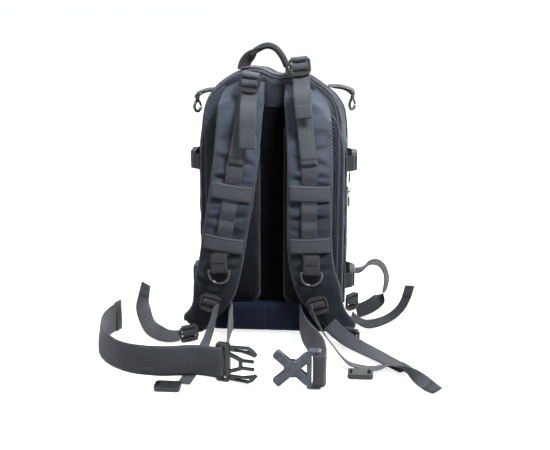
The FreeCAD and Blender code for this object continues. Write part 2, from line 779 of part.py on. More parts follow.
def belt_frame(label, left, deep):
    """The slotted end that the belt is laced round, its left edge at x = `left`."""
    wide = 21
    body = plate(label, wide, dim.clip_height, 4, 4, deep, 1.5)
    slots(body, "slot", [(1, 3.5, 9, dim.belt_width + 3)], deep)
    doc.recompute()
    shape = body.Shape.copy()
    shape.translate(V(left + wide / 2, float(deep) / 2, -float(dim.clip_height) / 2))
    return shape.Solids[0]


def latch_arm(upward):
    """A sprung arm of the forked half: a tapered bar with a window and a barbed tip."""
    outline = [(21.4, 27), (38, 27.5), (50, 28.5), (58, 24), (64, 17), (61, 13.5), (54, 16),
               (40, 19), (21.4, 19)]
    window = [(30, 24.6), (49, 25), (54, 20.4), (40, 21.6), (30, 21.8)]
    deep = float(dim.clip_depth) - 1.5

    def prism(points):
        corners = [V(x, -deep / 2, z * upward) for x, z in points]
        face = Part.Face(Part.makePolygon(corners + corners[:1]))
        return face.extrude(V(0, deep, 0))

    solid = prism(outline)
    solid = solid.makeFillet(1.1, solid.Edges)
    return solid.cut(prism(window))


def make_hip_buckle():
    """The belt buckle: a forked half with two sprung arms, and a cross-shaped socket half."""
    deep = float(dim.clip_depth)
    frame = belt_frame("hip_clip_frame", 0, dim.clip_depth)
    bars = [bar_between((38, -7), (38, 7), 5, deep - 1)]
    for side in (-1, 1):
        bars.append(bar_between((17, side * 15), (40, side * 6), 5, deep - 1))
        bars.append(bar_between((36, side * 6), (59, side * 6), 4, deep - 2))
    fork = feature("hip_clip_fork", [frame.multiFuse(bars)])
    fork.Placement = CLIP_PLACE
    for name, upward in (("upper", 1), ("lower", -1)):
        arm = feature("hip_latch_" + name, [latch_arm(upward)])
        arm.Placement = CLIP_PLACE
    deep = float(dim.socket_depth)
    frame = belt_frame("hip_socket_frame", 46, dim.socket_depth)
    hub = Part.makeCylinder(13, deep, V(25.5, deep / 2, 0), Y_AXIS * -1)
    cross = [bar_between((0, side * 24), (50, side * -21), 14, deep) for side in (1, -1)]
    cross.append(hub.makeFillet(2, hub.Edges))
    socket = frame.multiFuse(cross)
    mouth = Part.makeBox(31, 6, 42, V(-2, -3, -21))
    socket = feature("hip_clip_socket", [socket.cut(mouth)])
    socket.Placement = SOCKET_PLACE


HOOK_BARS = {"left": (-126, -30, 388), "right": (126, -30, 394)}
HOOK_DROP = 20
HOOK_TURN = 60


def hook_shape():
    """A snap hook hanging from a bar along Y at the origin; its ring is open on one side."""
    wire = float(dim.hook_wire)
    radius = float(dim.hook_radius)
    bars = [Part.makeCylinder(1.8, 26, V(0, -13, 0), Y_AXIS)]
    for end in (-13, 13):
        bars.append(Part.makeSphere(1.8, V(0, end, 0)))
        bars.append(Part.makeCylinder(1.8, 7, V(0, end, -7)))
        bars.append(Part.makeSphere(1.8, V(0, end, -7)))
    bars.append(Part.makeCylinder(1.8, 26, V(0, -13, -7), Y_AXIS))
    bars.append(Part.makeCylinder(3.2, 6, V(0, 0, -12)))
    ring = Part.makeTorus(radius, wire, V(0, 0, 0), Z_AXIS, -180, 180, 270)
    turn = Rotation(Z_AXIS, HOOK_TURN).multiply(Rotation(X_AXIS, 90))
    ring.Placement = Placement(V(0, 0, -HOOK_DROP), turn.multiply(Rotation(Z_AXIS, 70)))
    return bars[0].multiFuse(bars[1:] + [ring])


def gate_shape():
    """The hook's sprung gate, a straight bar across the ring's open side."""
    wire = float(dim.hook_wire)
    radius = float(dim.hook_radius)
    first = math.radians(70 - 12)
    second = math.radians(-20 + 14)
    start = V(radius * math.cos(first), 0, radius * math.sin(first))
    end = V(radius * math.cos(second), 0, radius * math.sin(second))
    run = end - start
    gate = Part.makeCylinder(wire - 0.6, run.Length, start, run)
    gate.Placement = Placement(V(0, 0, -HOOK_DROP), Rotation(Z_AXIS, HOOK_TURN))
    return gate


def make_hooks():
    """Webbing tabs at the top corners, each with a swinging snap hook and its gate."""
    tabs = []
    for side, (x, y, z) in HOOK_BARS.items():
        out = -1 if side == "left" else 1
        route = [(x - out * 16, z + 3.1), (x + out * 3.1, z + 3.1), (x + out * 3.1, z - 3.1),
                 (x - out * 12.5, z - 3.1)]
        tabs.append(stand(webbing(route, 1.4, 20), FRONT_VIEW, y=y))
        feature("snap_hook_" + side, [stand(hook_shape(), Rotation(), x, y, z)])
        feature("hook_gate_" + side, [stand(gate_shape(), Rotation(), x, y, z)])
    feature("hook_tabs", tabs)


def make_compression_straps():
    """Two straps on each side, with a clip standing off in the middle of each."""
    straps = []
    side_face = float(dim.pack_width / 2 + dim.web_thick / 2) + 0.1
    stand_off = side_face + 13
    clip_places = []
    for sign in (-1, 1):
        for level in (85, 283):
            rear = [(sign * side_face, -73), (sign * side_face, -68), (sign * stand_off, -60),
                    (sign * stand_off, -53)]
            front = [(sign * stand_off, -12), (sign * stand_off, -6), (sign * side_face, 4),
                     (sign * side_face, 20)]
            for route in (rear, front):
                strap = webbing(route, dim.web_thick, dim.webbing)
                straps.append(stand(strap, Rotation(), z=level))
            clip_places.append(Placement(V(sign * stand_off, -32.5, level), Rotation(Z_AXIS, 90)))
    feature("compression_straps", straps)
    block = plate("side_clip", dim.buckle_length, dim.buckle_width, 6, 6, dim.buckle_depth, 2)
    slots(block, "window", [(-9, 5, 5, 20), (9, 5, 5, 20)], dim.buckle_depth)
    doc.recompute()
    shape = block.Shape.copy()
    shape.translate(V(0, float(dim.buckle_depth) / 2, -float(dim.buckle_width) / 2))
    copies("compression_clips", shape.Solids[0], clip_places)


def make_side_webbing():
    """Rows of webbing down both sides, caught down at every third."""
    rows = []
    for sign in (-1, 1):
        face = float(dim.pack_width / 2) + 0.9
        for level in (130, 172, 214):
            route = [(sign * face, -72)]
            for gap in range(2):
                back = -66 + gap * 40
                route += [(sign * face, back), (sign * (face + 3), back + 8),
                          (sign * (face + 3), back + 30), (sign * face, back + 38)]
            route.append((sign * face, 20))
            rows.append(stand(webbing(route, 1.4, dim.webbing), Rotation(), z=level))
    feature("side_webbing", rows)


def make_haul_handle():
    """The grab handle on top, and the webbing strip it is sewn to."""
    top = float(BASE + dim.pack_height)
    route = [(-43, top + 6), (-37, top + 18), (-25, top + 31), (-8, top + 35), (9, top + 31),
             (21, top + 18), (27, top + 6)]
    arch = webbing(route, 3.2, 22)
    feature("haul_handle", [stand(arch, FRONT_VIEW, y=-66)])
    strip = doc.addObject("Part::Box", "handle_strip")
    strip.Length = 54
    bind(strip, "Width", dim.webbing)
    strip.Height = 1.6
    keep(put(strip, -38, -66 - 12.5, top + 0.05))


def write_nodes():
    """Check every object, then write each node's solids."""
    doc.recompute()
    for item in doc.Objects:
        if "Invalid" in item.State or "Error" in item.State:
            raise RuntimeError("%s failed: %s" % (item.Name, item.State))
    os.makedirs("parts", exist_ok=True)
    for item in nodes:
        shape = item.Shape
        if shape.isNull() or not shape.isValid() or not shape.Solids:
            raise RuntimeError(item.Label + ": the shape is not a valid solid")
        shape.exportStep(os.path.join("parts", item.Label + ".step"))
    print("%d nodes written" % len(nodes))


make_shells()
make_zip_tapes()
make_back_panel()
make_interior()
make_front_pockets()
make_sliders()
make_shoulder_straps()
make_rings()
lock_places = []
make_load_lifters(lock_places)
make_strap_ends(lock_places)
copies("ladder_locks", lock_shape(), lock_places)
make_cords()
make_sternum_clips()
make_hip_belt()
make_hip_buckle()
make_hooks()
make_compression_straps()
make_side_webbing()
make_haul_handle()
write_nodes()
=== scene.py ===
"""The looks of the trauma backpack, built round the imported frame. Metres, +Z up."""
import math

import bmesh
import bpy
import numpy as np
from mathutils import Matrix, Vector, noise


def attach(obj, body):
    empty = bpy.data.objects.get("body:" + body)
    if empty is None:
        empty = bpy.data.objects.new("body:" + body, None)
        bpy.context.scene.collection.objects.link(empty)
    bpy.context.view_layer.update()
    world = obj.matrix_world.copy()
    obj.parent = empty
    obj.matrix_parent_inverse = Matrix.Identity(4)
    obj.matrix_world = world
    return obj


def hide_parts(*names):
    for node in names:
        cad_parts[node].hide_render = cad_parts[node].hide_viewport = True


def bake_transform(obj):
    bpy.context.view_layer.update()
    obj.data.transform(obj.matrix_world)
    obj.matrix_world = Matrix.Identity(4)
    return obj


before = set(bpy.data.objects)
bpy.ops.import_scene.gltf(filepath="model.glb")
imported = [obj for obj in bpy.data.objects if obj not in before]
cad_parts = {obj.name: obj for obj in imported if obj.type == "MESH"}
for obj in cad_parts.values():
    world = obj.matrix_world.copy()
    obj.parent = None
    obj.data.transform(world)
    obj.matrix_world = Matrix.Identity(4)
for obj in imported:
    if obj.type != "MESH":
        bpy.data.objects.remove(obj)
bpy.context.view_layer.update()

MM = 0.001
UP = np.array([0.0, 0.0, 1.0])
RIGHT = np.array([1.0, 0.0, 0.0])
BACK = np.array([0.0, 1.0, 0.0])
FRONT = np.array([0.0, -1.0, 0.0])


# ---- camera and light

def aim(item, target):
    """Point an object's -Z axis at a target."""
    direction = Vector(target) - item.location
    item.rotation_euler = direction.to_track_quat("-Z", "Y").to_euler()


def linked(name, data, place=(0.0, 0.0, 0.0)):
    """A new object in the scene."""
    item = bpy.data.objects.new(name, data)
    bpy.context.collection.objects.link(item)
    item.location = place
    return item


def make_camera():
    camera = linked("camera", bpy.data.cameras.new("camera"), (0.125, -1.66, 0.62))
    camera.data.sensor_width = 36.0
    camera.data.lens = 66.1
    aim(camera, (0.006, -0.10, 0.188))
    bpy.context.scene.camera = camera


def area_light(name, place, target, size, power, tint=(1.0, 1.0, 1.0)):
    light = linked(name, bpy.data.lights.new(name, "AREA"), place)
    light.data.shape = "DISK"
    light.data.size = size
    light.data.energy = power
    light.data.color = tint
    aim(light, target)


def sheet_of_paper(name, corners, glow, colour):
    """A pale stage surface that doesn't throw light back on the object."""
    mesh = bpy.data.meshes.new(name)
    mesh.from_pydata(corners, [], [(0, 1, 2, 3)])
    surface = linked(name, mesh)
    surface.visible_diffuse = False
    paper = bpy.data.materials.new(name + "_paper")
    paper.use_nodes = True
    sockets = paper.node_tree.nodes["Principled BSDF"].inputs
    sockets["Base Color"].default_value = (colour, colour, colour, 1.0)
    sockets["Roughness"].default_value = 0.9
    sockets["Emission Color"].default_value = (1.0, 1.0, 1.0, 1.0)
    sockets["Emission Strength"].default_value = glow
    mesh.materials.append(paper)


def set_stops(ramp, *stops):
    """Give a colour ramp its (position, colour) stops."""
    for stop, (place, tint) in zip(ramp.elements, stops):
        stop.position = place
        stop.color = (*tint, 1.0)


def make_studio():
    """A pale floor and backdrop, soft lights, and a surround that is dark from below."""
    middle = (0.0, 0.0, 0.22)
    area_light("key", (0.55, -0.72, 1.32), (0.0, -0.1, 0.40), 0.35, 33, (0.96, 0.98, 1.0))
    area_light("fill", (-1.1, -1.0, 1.7), (0.0, -0.1, 0.4), 0.6, 14, (0.93, 0.96, 1.0))
    area_light("top", (-0.2, 0.5, 2.3), middle, 1.2, 22)
    area_light("rear", (0.9, 1.7, 1.6), middle, 1.2, 45)
    bpy.context.scene.view_settings.view_transform = "Standard"
    world = bpy.data.worlds.new("surround")
    bpy.context.scene.world = world
    world.use_nodes = True
    tree = world.node_tree
    place, split, ramp = (tree.nodes.new("ShaderNode" + kind)
                          for kind in ("TexCoord", "SeparateXYZ", "ValToRGB"))
    set_stops(ramp.color_ramp, (0.0, (0.05, 0.052, 0.055)), (0.55, (0.93, 0.96, 1.0)))
    tree.links.new(place.outputs["Generated"], split.inputs["Vector"])
    tree.links.new(split.outputs["Z"], ramp.inputs["Fac"])
    tree.links.new(ramp.outputs["Color"], tree.nodes["Background"].inputs["Color"])
    tree.nodes["Background"].inputs["Strength"].default_value = 0.30
    far = 9.0
    sheet_of_paper("floor", [(-far, -far, 0), (far, -far, 0), (far, far, 0), (-far, far, 0)],
                   0.80, 0.5)
    wall = [Vector((x, far - 0.1, z)) for x, z in ((-far, -1), (far, -1), (far, far), (-far, far))]
    for name, turn in (("backdrop", 0), ("backdrop_left", 90), ("backdrop_right", -90),
                       ("backdrop_front", 180)):
        swing = Matrix.Rotation(math.radians(turn), 3, "Z")
        sheet_of_paper(name, [tuple(swing @ corner) for corner in wall], 1.0, 0.1)


# ---- materials

class Shader:
    """A small helper that adds and links nodes of one material."""

    def __init__(self, name, roughness, specular=0.5, sheen=0.0, coat=0.0):
        self.material = bpy.data.materials.new(name)
        self.material.use_nodes = True
        self.tree = self.material.node_tree
        self.surface = self.tree.nodes["Principled BSDF"]
        self.put(self.surface, {"Roughness": roughness, "Specular IOR Level": specular,
                                "Sheen Weight": sheen, "Sheen Roughness": 0.45,
                                "Coat Weight": coat, "Coat Roughness": 0.25})

    def put(self, item, sockets):
        """Set each socket to a number, or link an output to it."""
        for name, value in sockets.items():
            if isinstance(value, (int, float)):
                item.inputs[name].default_value = value
            else:
                self.tree.links.new(value, item.inputs[name])

    def node(self, kind, sockets, **settings):
        """Add a node and return its outputs."""
        item = self.tree.nodes.new("ShaderNode" + kind)
        for name, value in settings.items():
            setattr(item, name, value)
        self.put(item, sockets)
        return item.outputs

    def math(self, operation, *values):
        return self.node("Math", dict(enumerate(values)), operation=operation)[0]

    def weighted(self, *parts):
        """The sum of (output, weight) pairs."""
        total = None
        for output, weight in parts:
            share = output if weight == 1 else self.math("MULTIPLY", output, weight)
            total = share if total is None else self.math("ADD", total, share)
        return total

    def split(self, vector):
        return vector, self.node("SeparateXYZ", {0: vector})

    def coordinates(self):
        return self.split(self.node("TexCoord", {})["Object"])

    def strap_coordinates(self):
        """Metres across and along a strip of webbing, kept on its points."""
        return self.split(self.node("Attribute", {}, attribute_name="strip")["Vector"])

    def noise(self, vector, scale, detail=3.0, roughness=0.55):
        return self.node("TexNoise", {"Vector": vector, "Scale": scale, "Detail": detail,
                                      "Roughness": roughness})["Fac"]

    def wave(self, value, pitch):
        """A sine of a length in metres, with the given pitch in metres, from 0 to 1."""
        sine = self.math("SINE", self.math("MULTIPLY", value, 2 * math.pi / pitch))
        return self.math("ADD", self.math("MULTIPLY", sine, 0.5), 0.5)

    def ramp(self, value, dark, light, low=0.0, high=1.0):
        output = self.node("ValToRGB", {0: value})["Color"]
        set_stops(output.node.color_ramp, (low, dark), (high, light))
        return output

    def painted_floor_shade(self, output, height, low, high):
        """Painted shade: darken a colour towards the floor, where less of the light from above
        reaches the cloth.
        """
        span = self.node("MapRange", {"Value": height, "From Min": 0.0, "From Max": 0.40,
                                      "To Min": low, "To Max": high},
                         interpolation_type="SMOOTHSTEP")["Result"]
        return self.node("VectorMath", {0: output, "Scale": span}, operation="SCALE")["Vector"]

    def colour(self, output):
        self.put(self.surface, {"Base Color": output})

    def rough(self, output, low, high):
        span = self.node("MapRange", {"Value": output, "To Min": low, "To Max": high})[0]
        self.put(self.surface, {"Roughness": span})

    def bump(self, height, depth, strength=1.0):
        dents = self.node("Bump", {"Height": height, "Distance": depth, "Strength": strength})[0]
        self.put(self.surface, {"Normal": dents})


def shade(colour, factor):
    return tuple(channel * factor for channel in colour)


def woven(name, colour, pitch=0.0012, contrast=0.35, sheen=0.12):
    """Coarse plain-weave nylon: crossed threads, broad fading, scuffs, and painted shade that
    darkens it towards the floor.
    """
    cloth = Shader(name, 0.78, 0.14, sheen)
    vector, axes = cloth.coordinates()
    ways = (cloth.math("ADD", axes[0], axes[1]), axes[2])
    warp, weft = (cloth.wave(way, pitch) for way in ways)
    signs = [cloth.math("SUBTRACT", cloth.wave(way, pitch * 2), 0.5) for way in ways]
    over = cloth.math("GREATER_THAN", cloth.math("MULTIPLY", *signs), 0)
    threads = cloth.node("Mix", {"Factor": over, "A": warp, "B": weft},
                         data_type="FLOAT")["Result"]
    scuffs = cloth.noise(vector, 160, 3, 0.7)
    mix = cloth.weighted((threads, contrast), (cloth.noise(vector, 22, 4), 0.55), (scuffs, 0.28))
    tint = cloth.ramp(mix, shade(colour, 0.55), shade(colour, 1.45), 0.2, 0.95)
    # Painted shade: the colour is darkened towards the floor, as if the light falls from above.
    cloth.colour(cloth.painted_floor_shade(tint, axes[2], 0.32, 1.55))
    cloth.rough(scuffs, 0.66, 0.9)
    cloth.bump(cloth.weighted((threads, 1), (scuffs, 0.6)), 0.0005, 0.55)
    return cloth.material


def ribbed(name, colour, sheen=0.2):
    """Nylon webbing: fine ribs across, columns of warp along it, and woven edges."""
    tape = Shader(name, 0.7, 0.4, sheen)
    vector, axes = tape.strap_coordinates()
    ribs = tape.wave(axes[1], 0.0017)
    columns = tape.wave(axes[0], 0.0031)
    fibres = tape.noise(vector, 700, 2, 0.6)
    mix = tape.weighted((ribs, 0.3), (columns, 0.22), (tape.noise(vector, 60, 4), 0.35),
                        (fibres, 0.2))
    tape.colour(tape.ramp(mix, shade(colour, 0.62), shade(colour, 1.4), 0.2, 0.9))
    tape.rough(fibres, 0.6, 0.85)
    tape.bump(tape.weighted((ribs, 1), (columns, 0.8)), 0.00035, 0.7)
    return tape.material


def air_mesh(name, colour, sheen=0.06):
    """Diamond air mesh: a raised lattice of diagonal threads over dark holes, with painted shade
    in the holes and towards the floor.
    """
    cloth = Shader(name, 0.8, sheen, sheen)
    vector, axes = cloth.coordinates()
    slants = [cloth.wave(cloth.math(sign, axes[0], axes[2]), 0.0060)
              for sign in ("ADD", "SUBTRACT")]
    threads = cloth.math("MAXIMUM", *[cloth.math("POWER", slant, 6.0) for slant in slants])
    mix = cloth.weighted((cloth.noise(vector, 45, 3), 0.35), (threads, 0.8))
    # Painted shade: the holes between the threads are near-black, for the shade inside them.
    tint = cloth.ramp(mix, shade(colour, 0.03), shade(colour, 1.8), 0.3, 1.0)
    # Painted shade: darker towards the floor, as if the light falls from above.
    cloth.colour(cloth.painted_floor_shade(tint, axes[2], 0.25, 1.6))
    cloth.bump(threads, 0.0011, 0.9)
    return cloth.material


def moulded(name, colour, roughness=0.42):
    """Moulded nylon plastic: a fine grain with paler scuffed patches."""
    plastic = Shader(name, roughness, 0.5)
    vector, _ = plastic.coordinates()
    scuffs = plastic.noise(vector, 90, 5, 0.7)
    plastic.colour(plastic.ramp(scuffs, colour, shade(colour, 2.4), 0.45, 0.85))
    plastic.rough(scuffs, roughness - 0.1, roughness + 0.18)
    plastic.bump(plastic.noise(vector, 1400, 2), 0.00012, 0.4)
    return plastic.material


def lacquered(name, colour):
    """Gloss black coated wire with faint rubbed marks."""
    metal = Shader(name, 0.2, 0.6, 0.0, 0.6)
    vector, _ = metal.coordinates()
    marks = metal.noise(vector, 260, 4, 0.7)
    metal.colour(metal.ramp(marks, colour, shade(colour, 4.0), 0.55, 0.9))
    metal.rough(marks, 0.14, 0.4)
    metal.bump(marks, 0.0001, 0.3)
    return metal.material


def coiled(name, colour):
    """Zip tape with a coil down its middle."""
    tape = Shader(name, 0.6, 0.4)
    vector, axes = tape.strap_coordinates()
    teeth = tape.wave(axes[1], 0.0022)
    cloth = tape.noise(vector, 300, 3)
    mix = tape.weighted((teeth, 0.5), (cloth, 0.5))
    tape.colour(tape.ramp(mix, shade(colour, 0.5), shade(colour, 1.6), 0.2, 0.9))
    tape.rough(cloth, 0.5, 0.8)
    tape.bump(teeth, 0.0006, 0.8)
    return tape.material


NAVY = (0.040, 0.049, 0.066)
DEEP_NAVY = (0.010, 0.023, 0.058)
GREY = (0.046, 0.050, 0.061)
BLACK = (0.010, 0.0105, 0.013)

FINISHES = {  # name: (group label, maker, colour, the maker's other values)
    "strap_nylon": ("navy_nylon", woven, NAVY),
    "body_nylon": ("navy_nylon", woven, shade(NAVY, 0.85)),
    # Painted shade: the yoke is a darker copy of the navy nylon, for the shade between the straps.
    "yoke_nylon": ("navy_nylon", woven, shade(NAVY, 0.42)),
    "deep_nylon": ("navy_nylon", woven, DEEP_NAVY, 0.0012, 0.35, 0.02),
    "webbing": ("webbing_grey", ribbed, GREY),
    "dim_webbing": ("webbing_grey", ribbed, shade(GREY, 0.72)),
    "black_webbing": ("webbing_grey", ribbed, shade(GREY, 0.30)),
    "binding": ("webbing_grey", ribbed, shade(NAVY, 0.8)),
    "mesh": ("pad_mesh", air_mesh, (0.030, 0.037, 0.052)),
    # Painted shade: the channel's mesh is a near-black copy of the pad mesh, for the shade in its
    # recess between the columns.
    "channel_mesh": ("pad_mesh", air_mesh, (0.0055, 0.0060, 0.0090), 0.03),
    "plastic": ("black_plastic", moulded, BLACK),
    "pale_plastic": ("black_plastic", moulded, (0.045, 0.052, 0.066), 0.34),
    "metal": ("black_metal", lacquered, (0.008, 0.008, 0.009)),
    "zip": ("zip_tape", coiled, (0.02, 0.022, 0.03)),
    "lining": ("lining", woven, (0.06, 0.065, 0.08), 0.0008, 0.2),
    "thread": ("webbing_grey", moulded, (0.022, 0.025, 0.033), 0.8),
}


MATERIALS = {name: make(name, *values) for name, (_, make, *values) in FINISHES.items()}


# ---- mesh helpers

def unit(vectors):
    """Each row scaled to length one."""
    vectors = np.asarray(vectors, dtype=float)
    return vectors / np.maximum(np.linalg.norm(vectors, axis=-1, keepdims=True), 1e-12)


def new_piece(name, points, faces, material, strip=None):
    """A mesh object from points and faces, with its material."""
    mesh = bpy.data.meshes.new(name)
    mesh.from_pydata([tuple(map(float, p)) for p in points], [], faces)
    mesh.validate()
    sorter = bmesh.new()
    sorter.from_mesh(mesh)
    bmesh.ops.recalc_face_normals(sorter, faces=sorter.faces)
    sorter.to_mesh(mesh)
    sorter.free()
    mesh.polygons.foreach_set("use_smooth", [True] * len(mesh.polygons))
    mesh.materials.append(MATERIALS[material])
    if strip is not None:
        layer = mesh.attributes.new("strip", "FLOAT_VECTOR", "POINT")
        layer.data.foreach_set("vector", np.asarray(strip, dtype=np.float32).ravel())
    mesh.update()
    piece = linked(name, mesh)
    return piece


def vectors_of(items, field="co"):
    """A vector read from each of a mesh's items."""
    found = np.empty(len(items) * 3)
    items.foreach_get(field, found)
    return found.reshape(-1, 3)


def points_of(piece):
    return vectors_of(piece.data.vertices)


def set_points(piece, points):
    piece.data.vertices.foreach_set("co", np.asarray(points, dtype=np.float32).ravel())
    piece.data.update()


def grid_faces(rows, columns, around=False, closed=False, first=0):
    """Quads of a grid of points; `around` joins the last column, `closed` the last row."""
    faces = []
    for row in range(rows if closed else rows - 1):
        for column in range(columns if around else columns - 1):
            right = (column + 1) % columns
            up = (row + 1) % rows
            faces.append((first + row * columns + column, first + row * columns + right,
                          first + up * columns + right, first + up * columns + column))
    return faces


def end_faces(count, first=0):
    """Quads straight across a ring of points, which close it."""
    return [(first + index, first + index + 1, first + count - 2 - index,
             first + count - 1 - index) for index in range(count // 2 - 1)]


def flat_ends(count, sides):
    """One flat face at each end of a tube."""
    last = (count - 1) * sides
    return [tuple(range(sides))[::-1], tuple(range(last, last + sides))]


def merged(name, shapes, material):
    """One piece from several (points, faces, strip) shapes."""
    points, faces, strips = [], [], []
    count = 0
    for places, polygons, strip in shapes:
        points.append(np.asarray(places, dtype=float))
        faces += [tuple(index + count for index in polygon) for polygon in polygons]
        strips.append(np.zeros((len(places), 3)) if strip is None else np.asarray(strip))
        count += len(places)
    return new_piece(name, np.vstack(points), faces, material, np.vstack(strips))


def stand_for(piece, body, *hidden):
    """Ride on a body, and stand for the named CAD nodes."""
    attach(piece, body)
    if hidden:
        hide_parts(*hidden)
    return piece


def added(name, shapes, material, body, *hidden):
    """A merged piece on a body, which stands for the named CAD nodes, if any."""
    return stand_for(merged(name, shapes, material), body, *hidden)


def sampled(wanted, along, vectors):
    """Vectors read off at the wanted places along a line."""
    return np.stack([np.interp(wanted, along, vectors[:, axis]) for axis in range(3)], axis=-1)


def even(line, step, closed=False, count=None):
    """Points spaced evenly along a line, `step` apart or `count` of them."""
    line = np.asarray(line, dtype=float)
    if closed:
        line = np.vstack([line, line[:1]])
    along = run_length(line)
    if count is None:
        count = max(2, int(round(along[-1] / step)) + (0 if closed else 1))
    return sampled(np.linspace(0, along[-1], count, endpoint=not closed), along, line)


def run_length(line):
    """Distance along a line at each of its points."""
    return np.concatenate([[0], np.cumsum(np.linalg.norm(np.diff(line, axis=0), axis=1))])


def spline_line(points, step=0.002):
    """Points read from the smooth spline that has the given points as its control points."""
    curve = bpy.data.curves.new("route", "CURVE")
    curve.dimensions = "3D"
    spline = curve.splines.new("NURBS")
    spline.points.add(len(points) - 1)
    for item, place in zip(spline.points, points):
        item.co = (*[float(value) for value in place], 1.0)
    spline.order_u = 3
    spline.use_endpoint_u = True
    spline.resolution_u = 24
    holder = bpy.data.objects.new("route", curve)
    mesh = bpy.data.meshes.new_from_object(holder)
    line = np.array([vertex.co[:] for vertex in mesh.vertices])
    bpy.data.objects.remove(holder)
    bpy.data.curves.remove(curve)
    bpy.data.meshes.remove(mesh)
    return even(line, step)


def keyed(line, keys):
    """Vectors interpolated along a line between keys of (fraction, vector)."""
    along = run_length(line)
    along = along / along[-1]
    places, values = [key[0] for key in keys], np.array([key[1] for key in keys], dtype=float)
    return (np.interp if values.ndim == 1 else sampled)(along, places, values)


def tangents(line, closed=False):
    if closed:
        return unit(np.roll(line, -1, axis=0) - np.roll(line, 1, axis=0))
    return unit(np.gradient(line, axis=0))


def squared(way, run):
    """A direction made square to the run of a line at each point."""
    way = np.broadcast_to(np.asarray(way, dtype=float), run.shape)
    return unit(way - run * np.sum(way * run, axis=1, keepdims=True))


def swept(line, first, a, second, b):
    """Rings round a line: `a` along the first direction and `b` along the second."""
    points = line[:, None] + first[:, None] * a[..., None] + second[:, None] * b[..., None]
    return points.reshape(-1, 3)


def ribbon_shape(line, across, width, thick, cup=0.0, edge_wave=0.0, seed=0):
    """A flat woven strap along a line. `across` is a vector, or one for each point."""
    line = np.asarray(line, dtype=float)
    run = tangents(line)
    across = squared(across, run)
    top = np.linspace(-1, 1, 9)
    crown = 1 - 0.25 * top ** 4
    a = np.concatenate([top, [1.0], top[::-1], [-1.0]])
    b = np.concatenate([crown, [0.0], -crown[::-1], [0.0]])
    reach = np.where(np.abs(a) >= 1, 0.985, 1.0)
    reach[9] = reach[19] = 1.0
    along = run_length(line)
    flutter = np.array([[edge_wave * noise.noise(Vector((place * 38, x * 1.4, seed * 7.3)))
                         for x in a] for place in along])
    half = np.broadcast_to(np.asarray(width, dtype=float), along.shape)[:, None] / 2
    aside = a * reach * half
    points = swept(line, across, aside, np.cross(run, across),
                   b * thick / 2 + cup * a ** 2 + flutter)
    strip = np.stack([aside + half, *np.broadcast_arrays(along[:, None], b)], axis=2)
    faces = grid_faces(len(line), len(a), around=True) + flat_ends(len(line), len(a))
    return points, faces, strip.reshape(-1, 3)


def ribbon(name, line, across, width, thick, material, body, *hidden, **extra):
    """A flat woven strap on a body."""
    shape = ribbon_shape(line, across, width, thick, **extra)
    return added(name, [shape], material, body, *hidden)


def tube_shape(line, radius, sides=10, closed=False, flat=1.0, side_hint=(0.3, 0.2, 1.0)):
    """A round or flattened tube along a line; the radius is a number or one for each point."""
    line = np.asarray(line, dtype=float)
    count = len(line)
    run = tangents(line, closed)
    first = squared(side_hint, run)
    radii = np.broadcast_to(np.asarray(radius, dtype=float), (count,))[:, None]
    turn = np.linspace(0, 2 * math.pi, sides, endpoint=False)
    points = swept(line, first, radii * np.cos(turn), np.cross(run, first),
                   radii * flat * np.sin(turn))
    strip = np.zeros((count, sides, 3))
    strip[:, :, 0] = turn * 0.004
    strip[:, :, 1] = run_length(line)[:, None]
    faces = grid_faces(count, sides, around=True, closed=closed)
    if not closed:
        faces += flat_ends(count, sides)
    return points, faces, strip.reshape(-1, 3)


def stitch_shapes(line, normal, pitch=0.0034, length=0.0024, radius=0.00038, lift=0.0002):
    """A row of thread stitches along a line that lies on a surface with the given normal."""
    line = np.asarray(line, dtype=float)
    spots = even(line, pitch)
    run = tangents(spots)
    along, wanted = run_length(line), run_length(spots)
    normal = np.broadcast_to(np.asarray(normal, dtype=float), line.shape)
    normals = unit(sampled(wanted * along[-1] / max(wanted[-1], 1e-9), along, normal))
    points, faces = [], []
    for spot, way, out, beside in zip(spots, run, normals, unit(np.cross(run, normals))):
        start = len(points)
        for reach, size in ((-0.5, 0.45), (-0.22, 1.0), (0.22, 1.0), (0.5, 0.45)):
            points += [spot + out * lift + way * reach * length
                       + (beside * a + out * b) * radius * size
                       for a, b in ((1, 0), (0, 1), (-1, 0), (0, -1))]
        faces += grid_faces(4, 4, around=True, first=start)
        faces += [tuple(start + index for index in end) for end in ((3, 2, 1, 0),
                                                                    (12, 13, 14, 15))]
    return np.array(points), faces, None


def ripple(points, scale, depth, seed=0.0, stretch=(1.0, 1.0, 1.0)):
    """A signed soft noise for each point, in metres."""
    return np.array([depth * noise.fractal(Vector((p[0] * scale * stretch[0] + seed,
                                                   p[1] * scale * stretch[1] - seed,
                                                   p[2] * scale * stretch[2] + seed * 2)),
                                           0.9, 2.1, 4) for p in points])


def normals_of(piece):
    return vectors_of(piece.data.vertex_normals, "vector")


def cross_rows(centre, way, half, normal, shift, steps, pitch=0.0013, length=0.0014):
    """Short rows of stitches side by side across a strap, as where it is tacked down."""
    bar = np.asarray(centre) + np.outer(np.linspace(-half, half, 9), way)
    return [stitch_shapes(bar + np.asarray(shift) * step, normal, pitch, length)
            for step in steps]


def finer(piece):
    """One level of subdivision."""
    smooth = piece.modifiers.new("finer", "SUBSURF")
    smooth.levels = smooth.render_levels = 1


